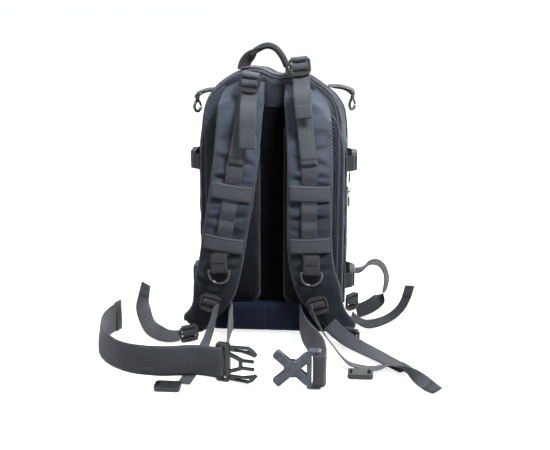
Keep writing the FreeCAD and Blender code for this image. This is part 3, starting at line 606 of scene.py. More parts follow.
def inflate(piece, pinned, cap, pressure=4.0):
    """Swell a closed piece with the cloth simulation; `pinned` marks points that stay."""
    rest = points_of(piece)
    group = piece.vertex_groups.new(name="pin")
    group.add([int(index) for index in np.nonzero(pinned(rest))[0]], 1.0, "REPLACE")
    cloth = piece.modifiers.new("swell", "CLOTH")
    cloth.settings.vertex_group_mass = "pin"
    cloth.settings.use_pressure = True
    cloth.settings.uniform_pressure_force = pressure
    cloth.settings.effector_weights.gravity = 0.0
    cloth.point_cache.frame_end = 20
    for number in range(1, 21):
        bpy.context.scene.frame_set(number)
    swollen = piece.evaluated_get(bpy.context.evaluated_depsgraph_get())
    moved = vectors_of(swollen.to_mesh().vertices) - rest
    swollen.to_mesh_clear()
    length = np.linalg.norm(moved, axis=1, keepdims=True)
    moved *= np.minimum(1.0, cap / np.maximum(length, 1e-9))
    piece.modifiers.remove(cloth)
    set_points(piece, rest + moved)
    bpy.context.scene.frame_set(1)
    finer(piece)


def remeshed(piece, voxel):
    """Apply a voxel remesh, which gives the cloth even square faces."""
    change = piece.modifiers.new("even", "REMESH")
    change.mode = "VOXEL"
    change.voxel_size = voxel
    graph = bpy.context.evaluated_depsgraph_get()
    mesh = bpy.data.meshes.new_from_object(piece.evaluated_get(graph))
    piece.modifiers.remove(change)
    mesh.materials.clear()
    mesh.materials.append(piece.data.materials[0])
    old = piece.data
    piece.data = mesh
    bpy.data.meshes.remove(old)
    mesh.polygons.foreach_set("use_smooth", [True] * len(mesh.polygons))
    return piece


# ---- free straps

def mm(points):
    """Millimetres to metres."""
    return [tuple(value * MM for value in point) for point in points]


def free_strap(name, hidden, route, width, keys, thick=0.0017, wave=0.0006,
               cup=0.0, seed=1, material="webbing", fold=None, fold_material="black_webbing"):
    """A loose length of webbing along its route's spline.

    `fold` names the stitched hem over its last 22 mm."""
    line = spline_line(mm(route), 0.003)
    across = keyed(line, keys)
    rise = (np.abs(squared(across, tangents(line))[:, 2]) * width / 2 + thick / 2 + wave
            + abs(cup) + 0.0006)
    lifted = np.maximum(rise - line[:, 2], 0)
    padded_lift = np.pad(np.maximum.reduce([lifted, np.roll(lifted, 1), np.roll(lifted, -1)]),
                         4, mode="edge")
    line[:, 2] += np.maximum(np.convolve(padded_lift, np.ones(9) / 9, mode="valid"), lifted)
    piece = ribbon(name, line, across, width, thick, material, "pack", *hidden,
                   edge_wave=wave, cup=cup, seed=seed)
    run = run_length(line)
    if fold:
        last = run > run[-1] - 0.022
        ribbon(fold, line[last], across[last], width * 1.02, thick * 1.9, fold_material, "pack")


def make_free_straps():
    """The loose ends of the harness."""
    # Left pad end: out of its lock, over the floor, and up at the tip.
    free_strap("lower_strap_left_web", ["lower_strap_left"],
               [(-146, -144, 12), (-168, -146, 7), (-194, -124, 8), (-214, -88, 18),
                (-224, -58, 36), (-220, -40, 62)], 0.025,
               [(0, (0.2, 0.9, 0.4)), (0.25, (0.0, 0.8, 0.6)), (0.55, (0.3, 0.7, 0.62)),
                (0.78, (0.3, 0.85, 0.4)), (1, (0.35, 0.9, 0.1))],
               cup=0.0006, seed=2, material="dim_webbing", fold="lower_strap_left_hem",
               fold_material="dim_webbing")
    # Right pad end: edge-on ribbon that runs down towards the camera.
    free_strap("lower_strap_right_web", ["lower_strap_right"],
               [(97, -134, 34), (118, -146, 17), (150, -172, 10), (184, -211, 9),
                (214, -248, 8)], 0.025,
               [(0, (0.5, 0.4, 0.8)), (0.4, (0.8, 0.75, 0.4)), (1, (0.9, 0.9, 0.05))],
               cup=-0.0005, seed=3, material="dim_webbing", fold="lower_strap_right_hem")
    # Left sternum strap: down to the floor and out to its clip.
    free_strap("sternum_strap_left_web", ["sternum_strap_left"],
               [(-86, -141, 64), (-88, -154, 46), (-95, -176, 22), (-103, -210, 6),
                (-107, -250, 3.2), (-108, -288, 3.1), (-112, -312, 3.4)], 0.020,
               [(0, (0.5, -0.3, 0.8)), (0.2, (0.75, -0.5, 0.5)), (0.45, (1.0, -0.15, 0.25)),
                (0.8, (1.0, 0.1, 0.0)), (1, (0.8, 0.5, 0.0))],
               0.0014, seed=4)
    # Right sternum strap: one length that goes through its clip and on to its tail.
    free_strap("sternum_strap_right_web", ["sternum_strap_right", "sternum_tail_right"],
               [(66, -142, 62), (78, -168, 47), (102, -200, 26), (124, -228, 9),
                (144, -238, 6.5), (166, -244, 6), (186, -230, 8), (205, -246, 8),
                (228, -282, 6), (256, -312, 5)], 0.020,
               [(0, (0.3, -0.75, 0.5)), (0.12, (0.05, -0.85, 0.5)), (0.32, (0.0, -0.95, 0.3)),
                (0.42, (0.1, -1.0, 0.1)), (0.56, (0.1, -1.0, 0.0)), (0.72, (-0.1, -0.8, 0.55)),
                (0.85, (0.5, -0.4, 0.5)), (1, (0.8, 0.5, 0.1))],
               0.0014, seed=5,
               fold="sternum_tail_right_hem")
    # Right side: the compression strap's loop, back into the side lock.
    free_strap("compression_tail_right_web", ["compression_tail_right"],
               [(136.2, -24, 90), (148, -24, 90), (160, -22, 106), (180, -20, 104),
                (192, -22, 80), (186, -28, 50), (164, -40, 30), (140, -52, 27)], 0.024,
               [(0, (0.1, 1.0, 0.1)), (0.4, (0.25, 0.95, 0.1)), (0.62, (0.4, 0.7, 0.4)),
                (0.8, (-0.1, 0.35, 0.9)), (1, (-0.1, 0.2, 0.95))],
               seed=6, wave=0.0004, material="black_webbing")
    # Right side: the adjuster's tail, out over the floor and up at the tip.
    free_strap("adjuster_tail_right_web", ["adjuster_tail_right"],
               [(132, -88, 34), (148, -86, 16), (174, -70, 13), (202, -62, 24),
                (222, -58, 48), (228, -44, 72)], 0.020,
               [(0, (0.1, 0.9, 0.3)), (0.4, (0.0, 0.9, 0.35)), (0.75, (-0.3, 0.8, 0.4)),
                (1, (-0.5, 0.75, 0.1))],
               0.0015, seed=7, wave=0.0004, material="black_webbing",
               fold="adjuster_tail_right_hem")


# ---- fabric shells

BODY = (0.1175, 0.003, 0.438, 0.088, 0.028)
LOW_POCKET = (0.090, 0.032, 0.222, 0.024, 0.012)
TOP_POCKET = (0.082, 0.236, 0.356, 0.040, 0.012)


def outline_loop(outline, inset=0.0, count=220):
    """A rounded outline in X and Z, from the middle of its base and round by the right."""
    half, low, high, top, base = outline
    half, low, high = half - inset, low + inset, high - inset
    top, base = max(top - inset, 0.002), max(base - inset, 0.002)
    path = [(0.0, 0.0, low)]
    for x, z, radius, first in ((half - base, low + base, base, -90),
                                (half - top, high - top, top, 0),
                                (top - half, high - top, top, 90),
                                (base - half, low + base, base, 180)):
        for step in range(17):
            angle = math.radians(first + 90 * step / 16)
            path.append((x + radius * math.cos(angle), 0.0, z + radius * math.sin(angle)))
    return even(path, 1.0, closed=True, count=count)


def shell_shape(outline, profile, count=220):
    """Rings of an outline, one for each (inset, y, scale), closed at both ends."""
    middle = np.array([0.0, 0.0, (outline[1] + outline[2]) / 2])
    rows = []
    for inset, y, scale in profile:
        loop = middle + (outline_loop(outline, inset, count) - middle) * scale
        loop[:, 1] = y
        rows.append(loop)
    faces = grid_faces(len(rows), count, around=True)
    faces += end_faces(count) + end_faces(count, (len(rows) - 1) * count)
    return np.concatenate(rows), faces, None


CAP = (0.03, 0.2, 0.38, 0.55, 0.7, 0.82, 0.91, 0.965)


def tray_profile(back, rim, wall, edge, bottom, towards):
    """The profile of a hollow shell: outside cap, edge, wall, rim, inside wall and cap."""
    profile = [(edge, back, scale) for scale in CAP]
    for step in range(7):
        angle = math.radians(90 * step / 6)
        profile.append((edge * (1 - math.sin(angle)),
                        back + towards * edge * (1 - math.cos(angle)), 1.0))
    first = len(profile)
    start = back + towards * edge
    profile += [(0.0, start + (rim - start) * step / 12, 1.0) for step in range(1, 12)]
    last = len(profile)
    profile += [(0.0, rim - towards * 0.002, 1.0), (0.0006, rim - towards * 0.0006, 1.0),
                (0.002, rim, 1.0), (wall, rim - towards * 0.001, 1.0)]
    inside = len(profile)
    profile += [(wall, rim + (bottom - rim) * step / 10, 1.0) for step in range(1, 10)]
    profile += [(wall + 0.003, bottom, 1.0), (wall + 0.008, bottom, 1.0)]
    profile += [(wall + 0.008, bottom, scale) for scale in CAP[::-1]]
    return profile, first, last, inside


def cinch(z, levels, width=0.016):
    """How far the fabric is drawn in at a height by the straps at the given levels."""
    return sum(np.exp(-((z - level) / width) ** 2) for level in levels)


def top_drop(x):
    """How far the unfilled top sinks at each x: a hump on the left, a dip, a lower right."""
    places = (-0.120, -0.085, -0.060, -0.040, -0.018, 0.006, 0.022, 0.055, 0.080, 0.120)
    drops = (0.003, 0.005, 0.004, 0.001, 0.001, 0.014, 0.011, 0.009, 0.011, 0.012)
    return np.mean([np.interp(x + shift, places, drops) for shift in
                    (-0.010, -0.005, 0.0, 0.005, 0.010)], axis=0)


def slump(points):
    """The unfilled top of the pack: it narrows, sinks and droops towards the lid."""
    points = np.array(points, dtype=float)
    share = np.clip((points[:, 2] - 0.30) / 0.13, 0, 1)
    share = share * share * (3 - 2 * share)
    near = np.clip((0.030 - points[:, 1]) / 0.10, 0, 1)
    waist = np.exp(-((points[:, 2] - 0.356) / 0.036) ** 2) * near
    points[:, 2] -= share ** 4 * top_drop(points[:, 0])
    right = points[:, 0] > 0
    points[:, 0] *= 1 - 0.052 * share - waist * np.where(right, 0.060, 0.036)
    points[:, 0] *= 1 - np.where(right, 0.030, 0.0) * share
    points[:, 2] -= 0.105 * (points[:, 1] + 0.085) * share
    return points


def slump_piece(piece):
    set_points(piece, slump(points_of(piece)))
    return piece


def soft_wall(points, normals, strength, seed, levels=()):
    """Move wall points along their normals: a soft bulge, creases, and cinched levels."""
    broad = ripple(points, 9.0, 0.0022 * strength, seed)
    creases = ripple(points, 26.0, 0.0011 * strength, seed + 3.0, (1.0, 1.0, 2.4))
    inward = cinch(points[:, 2], levels) * 0.0022 if levels else 0.0
    return points + normals * (broad + creases - inward)[:, None]


def paint(piece, material, chosen):
    """Give the faces whose index is chosen a second material."""
    piece.data.materials.append(MATERIALS[material])
    slot = len(piece.data.materials) - 1
    indices = np.zeros(len(piece.data.polygons), dtype=np.int32)
    piece.data.polygons.foreach_get("material_index", indices)
    indices[chosen] = slot
    piece.data.polygons.foreach_set("material_index", indices)


def soft_tray(name, outline, values, material, body, hidden, seed, levels):
    """A hollow fabric shell whose outside wall is softened and whose inside is lined."""
    count = 220
    profile, first, last, inside = tray_profile(*values)
    points, faces, _ = shell_shape(outline, profile, count)
    piece = new_piece(name, points, faces, material)
    paint(piece, "lining", np.arange(inside * count, (len(profile) - 1) * count))
    places = points_of(piece)
    rows = np.repeat(np.arange(len(profile)), count)
    fade = np.clip(np.minimum(rows - first + 4, last - rows + 1) / 4.0, 0, 1)
    fade[(rows >= last) | (rows < first - 3)] = 0
    moved = soft_wall(places, normals_of(piece), 1.0, seed, levels)
    set_points(piece, slump(places + (moved - places) * fade[:, None]))
    finer(piece)
    stand_for(piece, body, hidden)


def outline_run(outline, y, inset=0.0, start=0.0, end=1.0, step=0.003, wave=0.0, seed=0.0):
    """Part of an outline as a line at one depth, by fractions from the middle of its base."""
    loop = outline_loop(outline, inset, 400)
    loop[:, 1] = y
    if wave:
        loop[:, 1] += ripple(loop, 20, wave, seed)
        loop += outward(outline, loop) * ripple(loop, 24, wave, seed + 5)[:, None]
    first, final = int(start * 400), int(end * 400)
    return even(loop[first:final + 1], step, closed=(start == 0.0 and end == 1.0))


def outward(outline, line):
    """The outward normal of an outline at points on it."""
    half, low, high, top, base = outline
    middle_x = np.clip(line[:, 0], -(half - top), half - top)
    upper = line[:, 2] > high - top
    lower = line[:, 2] < low + base
    base_x = np.clip(line[:, 0], -(half - base), half - base)
    centre_x = np.where(upper, middle_x, np.where(lower, base_x, 0.0))
    centre_z = np.where(upper, high - top, np.where(lower, low + base, line[:, 2]))
    away = np.stack([line[:, 0] - centre_x, np.zeros(len(line)), line[:, 2] - centre_z], axis=1)
    return unit(away)


def edging(name, outline, shapes, material, body):
    """Something sewn along an outline, which slumps with the shell."""
    piece = added(name, shapes, material, body)
    if outline is BODY:
        slump_piece(piece)


def piping(name, outline, y, inset, radius, body, start=0.0, end=1.0, seed=0.0):
    """A covered cord along a seam of a shell."""
    line = outline_run(outline, y, inset, start, end, wave=0.0004, seed=seed)
    closed = start == 0.0 and end == 1.0
    edging(name, outline, [tube_shape(line, radius, 10, closed=closed)], "binding", body)


def seam(name, outline, y, inset, body, start=0.0, end=1.0, normal=None, pitch=0.0036):
    """A row of stitches along an outline."""
    line = outline_run(outline, y, inset, start, end)
    facing = outward(outline, line) if normal is None else normal
    edging(name, outline, [stitch_shapes(line, facing, pitch)], "thread", body)


def zip_side(name, y, away, body, hidden, start=0.108, end=0.892):
    """Half the main zip: a strip of tape round the body, and its half of the coil."""
    line = outline_run(BODY, y + away * 0.0062, -0.0006, start, end)
    slump_piece(ribbon(name + "_tape", line, BACK, 0.0105, 0.0009, "zip", body, hidden))
    fine = outline_run(BODY, y + away * 0.0009, -0.0011, start, end, step=0.00055)
    phase = 0 if away > 0 else math.pi
    teeth = 0.0009 + 0.00035 * np.sin(run_length(fine) * 2 * math.pi / 0.0022 + phase)
    edging(name + "_coil", BODY, [tube_shape(fine, teeth, 8)], "plastic", body)
    seam(name + "_thread", BODY, y + away * 0.0102, -0.0012, body, start, end, pitch=0.0034)


def make_shells():
    """The rear shell and the lid, with their piping, seams, zip and base panel."""
    drawn_in = (0.085, 0.283)
    soft_tray("rear_shell", BODY, (-0.085, 0.035, 0.004, 0.010, -0.081, 1), "body_nylon", "pack",
              "main_shell", 1.0, drawn_in)
    soft_tray("lid_fabric", BODY, (0.0956, 0.0356, 0.004, 0.010, 0.0916, -1), "body_nylon",
              "lid", "lid_shell", 11.0, drawn_in)
    piping("rear_piping", BODY, -0.0835, 0.0042, 0.0023, "pack", seed=2)
    piping("rear_seam_piping", BODY, -0.060, -0.0008, 0.0019, "pack", 0.12, 0.88, 4)
    piping("front_piping", BODY, 0.0945, 0.0042, 0.0023, "lid", seed=6)
    seam("rear_edge_thread", BODY, -0.0853, 0.011, "pack", normal=FRONT)
    seam("rear_wall_thread", BODY, -0.0745, -0.0006, "pack", 0.10, 0.90)
    seam("front_wall_thread", BODY, 0.0845, -0.0006, "lid", 0.10, 0.90)
    zip_side("rear_zip", 0.0353, -1, "pack", "zip_tape_rear")
    zip_side("lid_zip", 0.0353, 1, "lid", "zip_tape_lid")
    points, faces, _ = shell_shape(
        (0.0895, -0.05, 0.05, 0.016, 0.016),
        [(0.004, 0, 0.4), (0.002, 0, 1), (0, 0.0008, 1), (0, 0.0024, 1), (0.0015, 0.003, 1),
         (0.004, 0.0031, 1), (0.004, 0.0031, 0.4)], 120)
    flat = points[:, [0, 2, 1]] + FRONT * 0.025
    stand_for(new_piece("base_fabric", flat, faces, "deep_nylon"), "pack", "base_panel")


# ---- back panel

def pillow(name, outline, back, front, material, body, hidden, cap, seams=None, voxel=0.005,
           start_inset=0.004):
    """A padded panel: its outline swollen by the cloth simulation, flat at its back."""
    depth = back - front
    profile = [(0.006, back, scale) for scale in (0.03, 0.3, 0.6, 0.85)]
    profile += [(0.0, back, 1.0), (0.0, back - depth * 0.35, 1.0),
                (start_inset, back - depth * 0.62, 1.0),
                (start_inset * 2.6, back - depth * 0.78, 1.0)]
    profile += [(start_inset * 3.2, back - depth * 0.8, scale)
                for scale in (0.94, 0.8, 0.5, 0.2, 0.03)]
    points, faces, _ = shell_shape(outline, profile, 160)
    piece = remeshed(new_piece(name, points, faces, material), voxel)

    def pinned(places):
        held = places[:, 1] > back - 0.0035
        return held if seams is None else held | seams(places)

    inflate(piece, pinned, cap)
    return stand_for(piece, body, hidden)


PAD = (0.042, 0.056, 0.375, 0.040, 0.012)


def thin_cloth(name, xs, zs, depth, thick, material, body, hidden):
    """Two layers of thin cloth over a grid; `depth` gives their place in Y at (x, z)."""
    front = np.array([(x, depth(x, z), z) for z in zs for x in xs])
    faces = grid_faces(len(zs), len(xs)) + grid_faces(len(zs), len(xs), first=len(front))
    points = np.vstack([front, front + BACK * thick])
    stand_for(new_piece(name, points, faces, material), body, hidden)
    return front


def make_back_panel():
    """The two mesh columns, the channel between them with its mesh painted near-black for the
    shade in its recess, the lumbar panel, and the yoke painted darker for the shade between the
    straps.
    """
    for side, x in (("left", -0.063), ("right", 0.063)):
        pad = pillow("mesh_column_" + side, PAD, -0.085, -0.105, "mesh", "pack",
                     "back_pad_" + side, 0.005)
        set_points(pad, points_of(pad) + RIGHT * x)
        line = outline_run(PAD, -0.0875, -0.0006) + RIGHT * x
        added("column_piping_" + side, [tube_shape(line, 0.0019, 8, closed=True)], "binding",
              "pack")

    def channel(x, z):
        dent = 0.0012 * math.sin(z * 60) + 0.0008 * noise.noise(Vector((x * 50, 0, z * 40)))
        return -0.0872 + 0.0007 * math.cos(x * 140) + dent * 0.4

    # Painted shade: the channel's near-black mesh stands in for the shade in its recess.
    thin_cloth("spine_channel", np.linspace(-0.0215, 0.0215, 13), np.linspace(0.052, 0.398, 60),
               channel, 0.0012, "channel_mesh", "pack", "spine_mesh")
    seams_at = (-0.010, 0.021)

    def from_seam(places, at=seams_at):
        return np.min([np.abs(places[:, 0] - x) for x in at], axis=0)

    pad = pillow("lumbar_pad", (0.105, 0.004, 0.055, 0.006, 0.012), -0.085, -0.105,
                 "deep_nylon", "pack", "lumbar_panel", 0.005,
                 lambda places: from_seam(places) < 0.003, start_inset=0.0025)
    places = points_of(pad)
    forward = np.clip((-0.090 - places[:, 1]) / 0.010, 0, 1)
    places[:, 1] += 0.0045 * np.exp(-(from_seam(places) / 0.0035) ** 2) * forward
    set_points(pad, places)
    for number, x in enumerate(seams_at):
        line = np.array([(x, -0.0990, z) for z in np.linspace(0.010, 0.051, 18)])
        added("lumbar_thread_%d" % number, [stitch_shapes(line, FRONT)], "thread", "pack")
    yoke = (0.075, 0.376, 0.428, 0.012, 0.010)
    # Painted shade: the yoke's darker cloth stands in for the shade between the straps.
    panel = slump_piece(pillow("yoke_panel", yoke, -0.0852, -0.0905, "yoke_nylon", "pack",
                               "shoulder_yoke", 0.002, start_inset=0.001, voxel=0.0035))
    places = points_of(panel)
    gutter = from_seam(places, (-0.014, 0.021))
    places[:, 1] += 0.003 * np.exp(-(gutter / 0.004) ** 2) * (places[:, 1] < -0.0865)
    set_points(panel, places)
    line = slump(outline_run(yoke, -0.0893, 0.004))
    added("yoke_thread", [stitch_shapes(line, FRONT, lift=0.0006)], "thread", "pack")


# ---- shoulder straps

STRAP_ROUTES = {
    "left": [(-40, -97, 434), (-46, -111, 392), (-51, -126, 318), (-59, -131, 250),
             (-73, -130, 170), (-81, -126, 118), (-95, -121, 70), (-113, -117, 36),
             (-131, -115, 19)],
    "right": [(50, -97, 434), (57, -111, 392), (62, -126, 318), (63, -131, 250),
              (62, -130, 173), (67, -126, 118), (84, -121, 72), (104, -118, 38),
              (126, -116, 15)],
}
BAR_LEVELS = (0.165, 0.249)


def tuck(points):
    """The strap's top is drawn down into the seam along the shell's rear edge."""
    points = np.array(points, dtype=float)
    squeeze = np.where(points[:, 0] > 0, 0.920, 0.948)
    beyond = np.maximum(np.abs(points[:, 0]) / squeeze - 0.0295, 0)
    edge = 0.348 + np.sqrt(np.maximum(0.088 ** 2 - beyond ** 2, 1e-6)) - top_drop(points[:, 0])
    gap = edge - points[:, 2]
    near = gap < 0.030
    share = np.clip((0.030 - gap) / 0.045, 0, 1)
    points[:, 2] = np.where(near, edge - 0.001 - 0.029 * (np.maximum(gap, -0.03) + 0.03) / 0.060,
                            points[:, 2])
    points[:, 1] += (-0.084 - points[:, 1]) * share ** 1.3
    return points


class Strap:
    """The middle line of a shoulder strap, with its directions and its sizes."""

    def __init__(self, side):
        self.line = spline_line(mm(STRAP_ROUTES[side]), 0.0032)
        run = tangents(self.line)
        self.across = unit(np.stack([-run[:, 2], np.zeros(len(run)), run[:, 0]], axis=1))
        self.front = unit(np.cross(run, self.across))
        if self.front[len(run) // 2, 1] > 0:
            self.front = -self.front
        z = self.line[:, 2]
        share = np.clip((z - 0.030) / 0.062, 0, 1)
        high = np.clip((z - 0.392) / 0.042, 0, 1)
        self.half = 0.0195 + 0.0145 * share * share * (3 - 2 * share) - 0.006 * high

    def at(self, z, across, lift):
        """A point beside and in front of the middle line at a height."""
        place, side, front = (sampled(z, self.line[::-1, 2], vectors[::-1])
                              for vectors in (self.line, self.across, self.front))
        return (place + unit(side) * np.asarray(across, dtype=float)[..., None]
                + unit(front) * np.asarray(lift, dtype=float)[..., None])


def strap_form(side, strap, turn, a, reach, shrink):
    """The swollen strap, stitched flat along its rows and held at its edges and ends."""
    depth = 0.0018 + 0.0044 * (1 - np.abs(a) ** 3.5) ** 0.7
    b = np.sign(np.sin(turn)) * depth * np.where(np.abs(np.sin(turn)) < 0.02, 0.0, 1.0)
    count, sides = len(strap.line), len(turn)
    points = swept(strap.line, strap.across, a * reach[:, None], strap.front,
                   b * shrink[:, None])
    faces = grid_faces(count, sides, around=True)
    faces += end_faces(sides) + end_faces(sides, (count - 1) * sides)
    piece = new_piece("padded_strap_" + side, points, faces, "strap_nylon")
    sewn, ends = np.zeros((2, count), dtype=bool)
    levels = [level + offset for level in BAR_LEVELS for offset in (-0.0125, 0.0125)]
    for level in levels + [0.298, 0.207, 0.105, 0.062]:
        sewn[np.argmin(np.abs(strap.line[:, 2] - level))] = True
    ends[:2] = ends[-2:] = True
    held = np.tile(np.abs(a) > 0.93, count) | np.repeat(ends, sides)
    held |= np.repeat(sewn, sides) & np.tile(np.abs(a) < 0.8, count)
    inflate(piece, lambda places: held, 0.0042, 5.0)
    return piece


# Folds across a shoulder strap: height, depth and half-width.
FOLDS = [(level + offset, size, 0.0040) for level in BAR_LEVELS
         for offset, size in ((-0.0170, 0.0038), (0.0170, 0.0038), (0.0, 0.0022))]


FOLDS += [(0.207, 0.0052, 0.0040), (0.300, 0.0046, 0.0045), (0.337, 0.0034, 0.0055),
          (0.120, 0.0036, 0.0055), (0.090, 0.0030, 0.0045), (0.372, 0.0024, 0.0070),
          (0.273, 0.0034, 0.0040), (0.190, 0.0026, 0.0035), (0.225, 0.0024, 0.0035),
          (0.316, 0.0024, 0.0035)]


def creased(places, aside, seed):
    """How far the strap's cloth stands out at each point: folds, bulges and creases."""
    out = ripple(places, 17.0, 0.0028, seed, (0.8, 1.0, 2.2))
    out += ripple(places, 42.0, 0.0011, seed + 5.0, (1.0, 1.0, 1.6))
    for number, (level, size, width) in enumerate(FOLDS):
        slope = 0.009 * math.sin(number * 2.1 + seed)
        lean = level + slope * aside + 0.004 * aside ** 2 * math.cos(number * 1.3)
        varied = 0.55 + 0.45 * math.sin(number * 1.7 + seed)
        share = size * np.clip(0.6 + varied * aside * math.cos(number * 2.9), 0.15, 1.2)
        away = places[:, 2] - lean
        out -= share * np.exp(-(away / width) ** 2)
        out += 0.45 * share * np.exp(-((away - width * 2.1) / width) ** 2)
    return out


def make_shoulder_strap(side):
    """A padded strap: swollen between its stitched rows, with bound edges."""
    strap = Strap(side)
    turn = np.linspace(0, 2 * math.pi, 34, endpoint=False)
    a = np.sign(np.cos(turn)) * np.abs(np.cos(turn)) ** 0.75
    count = len(strap.line)
    shrink = np.ones(count)
    shrink[-2:] = 0.93, 0.72
    reach = strap.half * shrink
    piece = strap_form(side, strap, turn, a, reach, shrink)
    places = points_of(piece)
    out = creased(places, np.tile(a, count), 3.0 if side == "left" else 9.0)
    out *= np.tile((1 - np.abs(a) ** 4) * np.where(np.sin(turn) > 0, 1.0, -1.0), count)
    facing = np.repeat(strap.front, len(turn), axis=0)
    set_points(piece, tuck(places + facing * out[:, None]))
    stand_for(piece, "pack", "shoulder_strap_" + side)
    middle = count // 2
    for number, sign in enumerate((-1, 1)):
        rim = even(strap.line + strap.across * (sign * (reach - 0.0028))[:, None], 0.003)
        hint = keyed(rim, [(0, strap.across[0]), (0.5, strap.across[middle]),
                           (1, strap.across[-1])])
        points, faces, strip = tube_shape(rim, 0.0043, 12, flat=0.62, side_hint=hint)
        added("strap_binding_%s_%d" % (side, number), [(tuck(points), faces, strip)],
              "binding", "pack")
        inset = strap.line + strap.across * (sign * (reach - 0.0060))[:, None]
        inset = even(inset + strap.front * 0.0036, 0.003)
        added("strap_thread_%s_%d" % (side, number),
              [stitch_shapes(tuck(inset), strap.front[middle])], "thread", "pack")
    foot = strap.line[-2] + strap.across[-2] * np.linspace(-0.0135, 0.0135, 12)[:, None]
    added("strap_foot_binding_" + side,
          [tube_shape(foot, 0.0046, 10, flat=0.7, side_hint=(0.3, 0, 1))], "binding", "pack")
    return strap


def make_strap_webbing(side, strap):
    """The bars across a strap and the daisy webbing along it."""
    def across_at(level, half, count, lift):
        a = np.linspace(-half, half, count)
        return strap.at(np.full(count, level), a, lift - 0.0040 * (np.abs(a) / 0.0312) ** 4)

    shapes, threads = [], []
    for number, level in enumerate(BAR_LEVELS):
        up = unit(strap.at(level + 0.01, 0, 0) - strap.at(level - 0.01, 0, 0))
        shapes.append(ribbon_shape(across_at(level, 0.0312, 40, 0.0098), up, 0.025, 0.0017,
                                   cup=-0.0006, edge_wave=0.0005, seed=number + 3))
        threads += [stitch_shapes(across_at(level + offset, 0.030, 30, 0.0108), FRONT)
                    for offset in (-0.0098, 0.0098)]
    added("strap_bars_" + side, shapes, "webbing", "pack", "strap_bars")
    levels = np.linspace(0.299, 0.147, 74)
    anchors = (0.298, 0.2635, 0.2345, 0.207, 0.179, 0.150)
    gap = np.min([np.abs(levels - anchor) for anchor in anchors], axis=0)
    rise = 0.0026 * np.clip(gap / 0.011, 0, 1) ** 1.4
    under = np.max([np.exp(-((levels - level) / 0.011) ** 4) for level in BAR_LEVELS], axis=0)
    line = strap.at(levels, np.zeros(74), 0.0079 + rise * (1 - under) - 0.0002 * under)
    ribbon("daisy_web_" + side, line, strap.across[len(strap.across) // 2], 0.025, 0.0017,
           "dim_webbing", "pack", "daisy_webbing", edge_wave=0.0004, seed=8)
    for anchor in anchors[1:-1]:
        bar = strap.at(np.full(9, anchor), np.linspace(-0.0105, 0.0105, 9), np.full(9, 0.0091))
        threads += [stitch_shapes(bar + UP * offset, FRONT, 0.0012, 0.0014, 0.0004)
                    for offset in (-0.0009, 0.0, 0.0009)]
    added("strap_sewing_" + side, threads, "thread", "pack")


def make_ring_loops():
    """The folded webbing that holds each D-ring."""
    for side, x, tilt in (("left", -0.08038, (1.0, 0.0, 0.12)), ("right", 0.067, RIGHT)):
        route = [(x, y, z) for y, z in (
            (-0.1405, 0.150), (-0.1385, 0.142), (-0.1362, 0.134), (-0.1361, 0.124),
            (-0.1364, 0.1192), (-0.1395, 0.1172), (-0.1426, 0.1192), (-0.1432, 0.126),
            (-0.1430, 0.138), (-0.1404, 0.1485))]
        ribbon("ring_loop_" + side, spline_line(route, 0.0015), tilt, 0.026, 0.0014,
               "black_webbing", "pack", "ring_loops", seed=3)
        added("ring_loop_thread_" + side,
              cross_rows((x, -0.1446, 0.137), RIGHT, 0.009, FRONT, UP,
                         (-0.0008, 0.0, 0.0008), 0.0012), "thread", "pack")


# Each load lifter: its side, its lock's place, its lean and its tail's lean in degrees, its
# tail's last points in Y and Z, and how far back and up from the lock its anchor starts.
LIFTERS = (("left", (-31, -127, 420), 9.5, 1.0, [(-152, 380), (-153, 322)], [(34, 8), (22, 14)]),
           ("right", (45, -112.5, 444), -6.5, -6.5, [(-140, 405), (-143, 368)],
            [(25, -16), (18, 2)]))


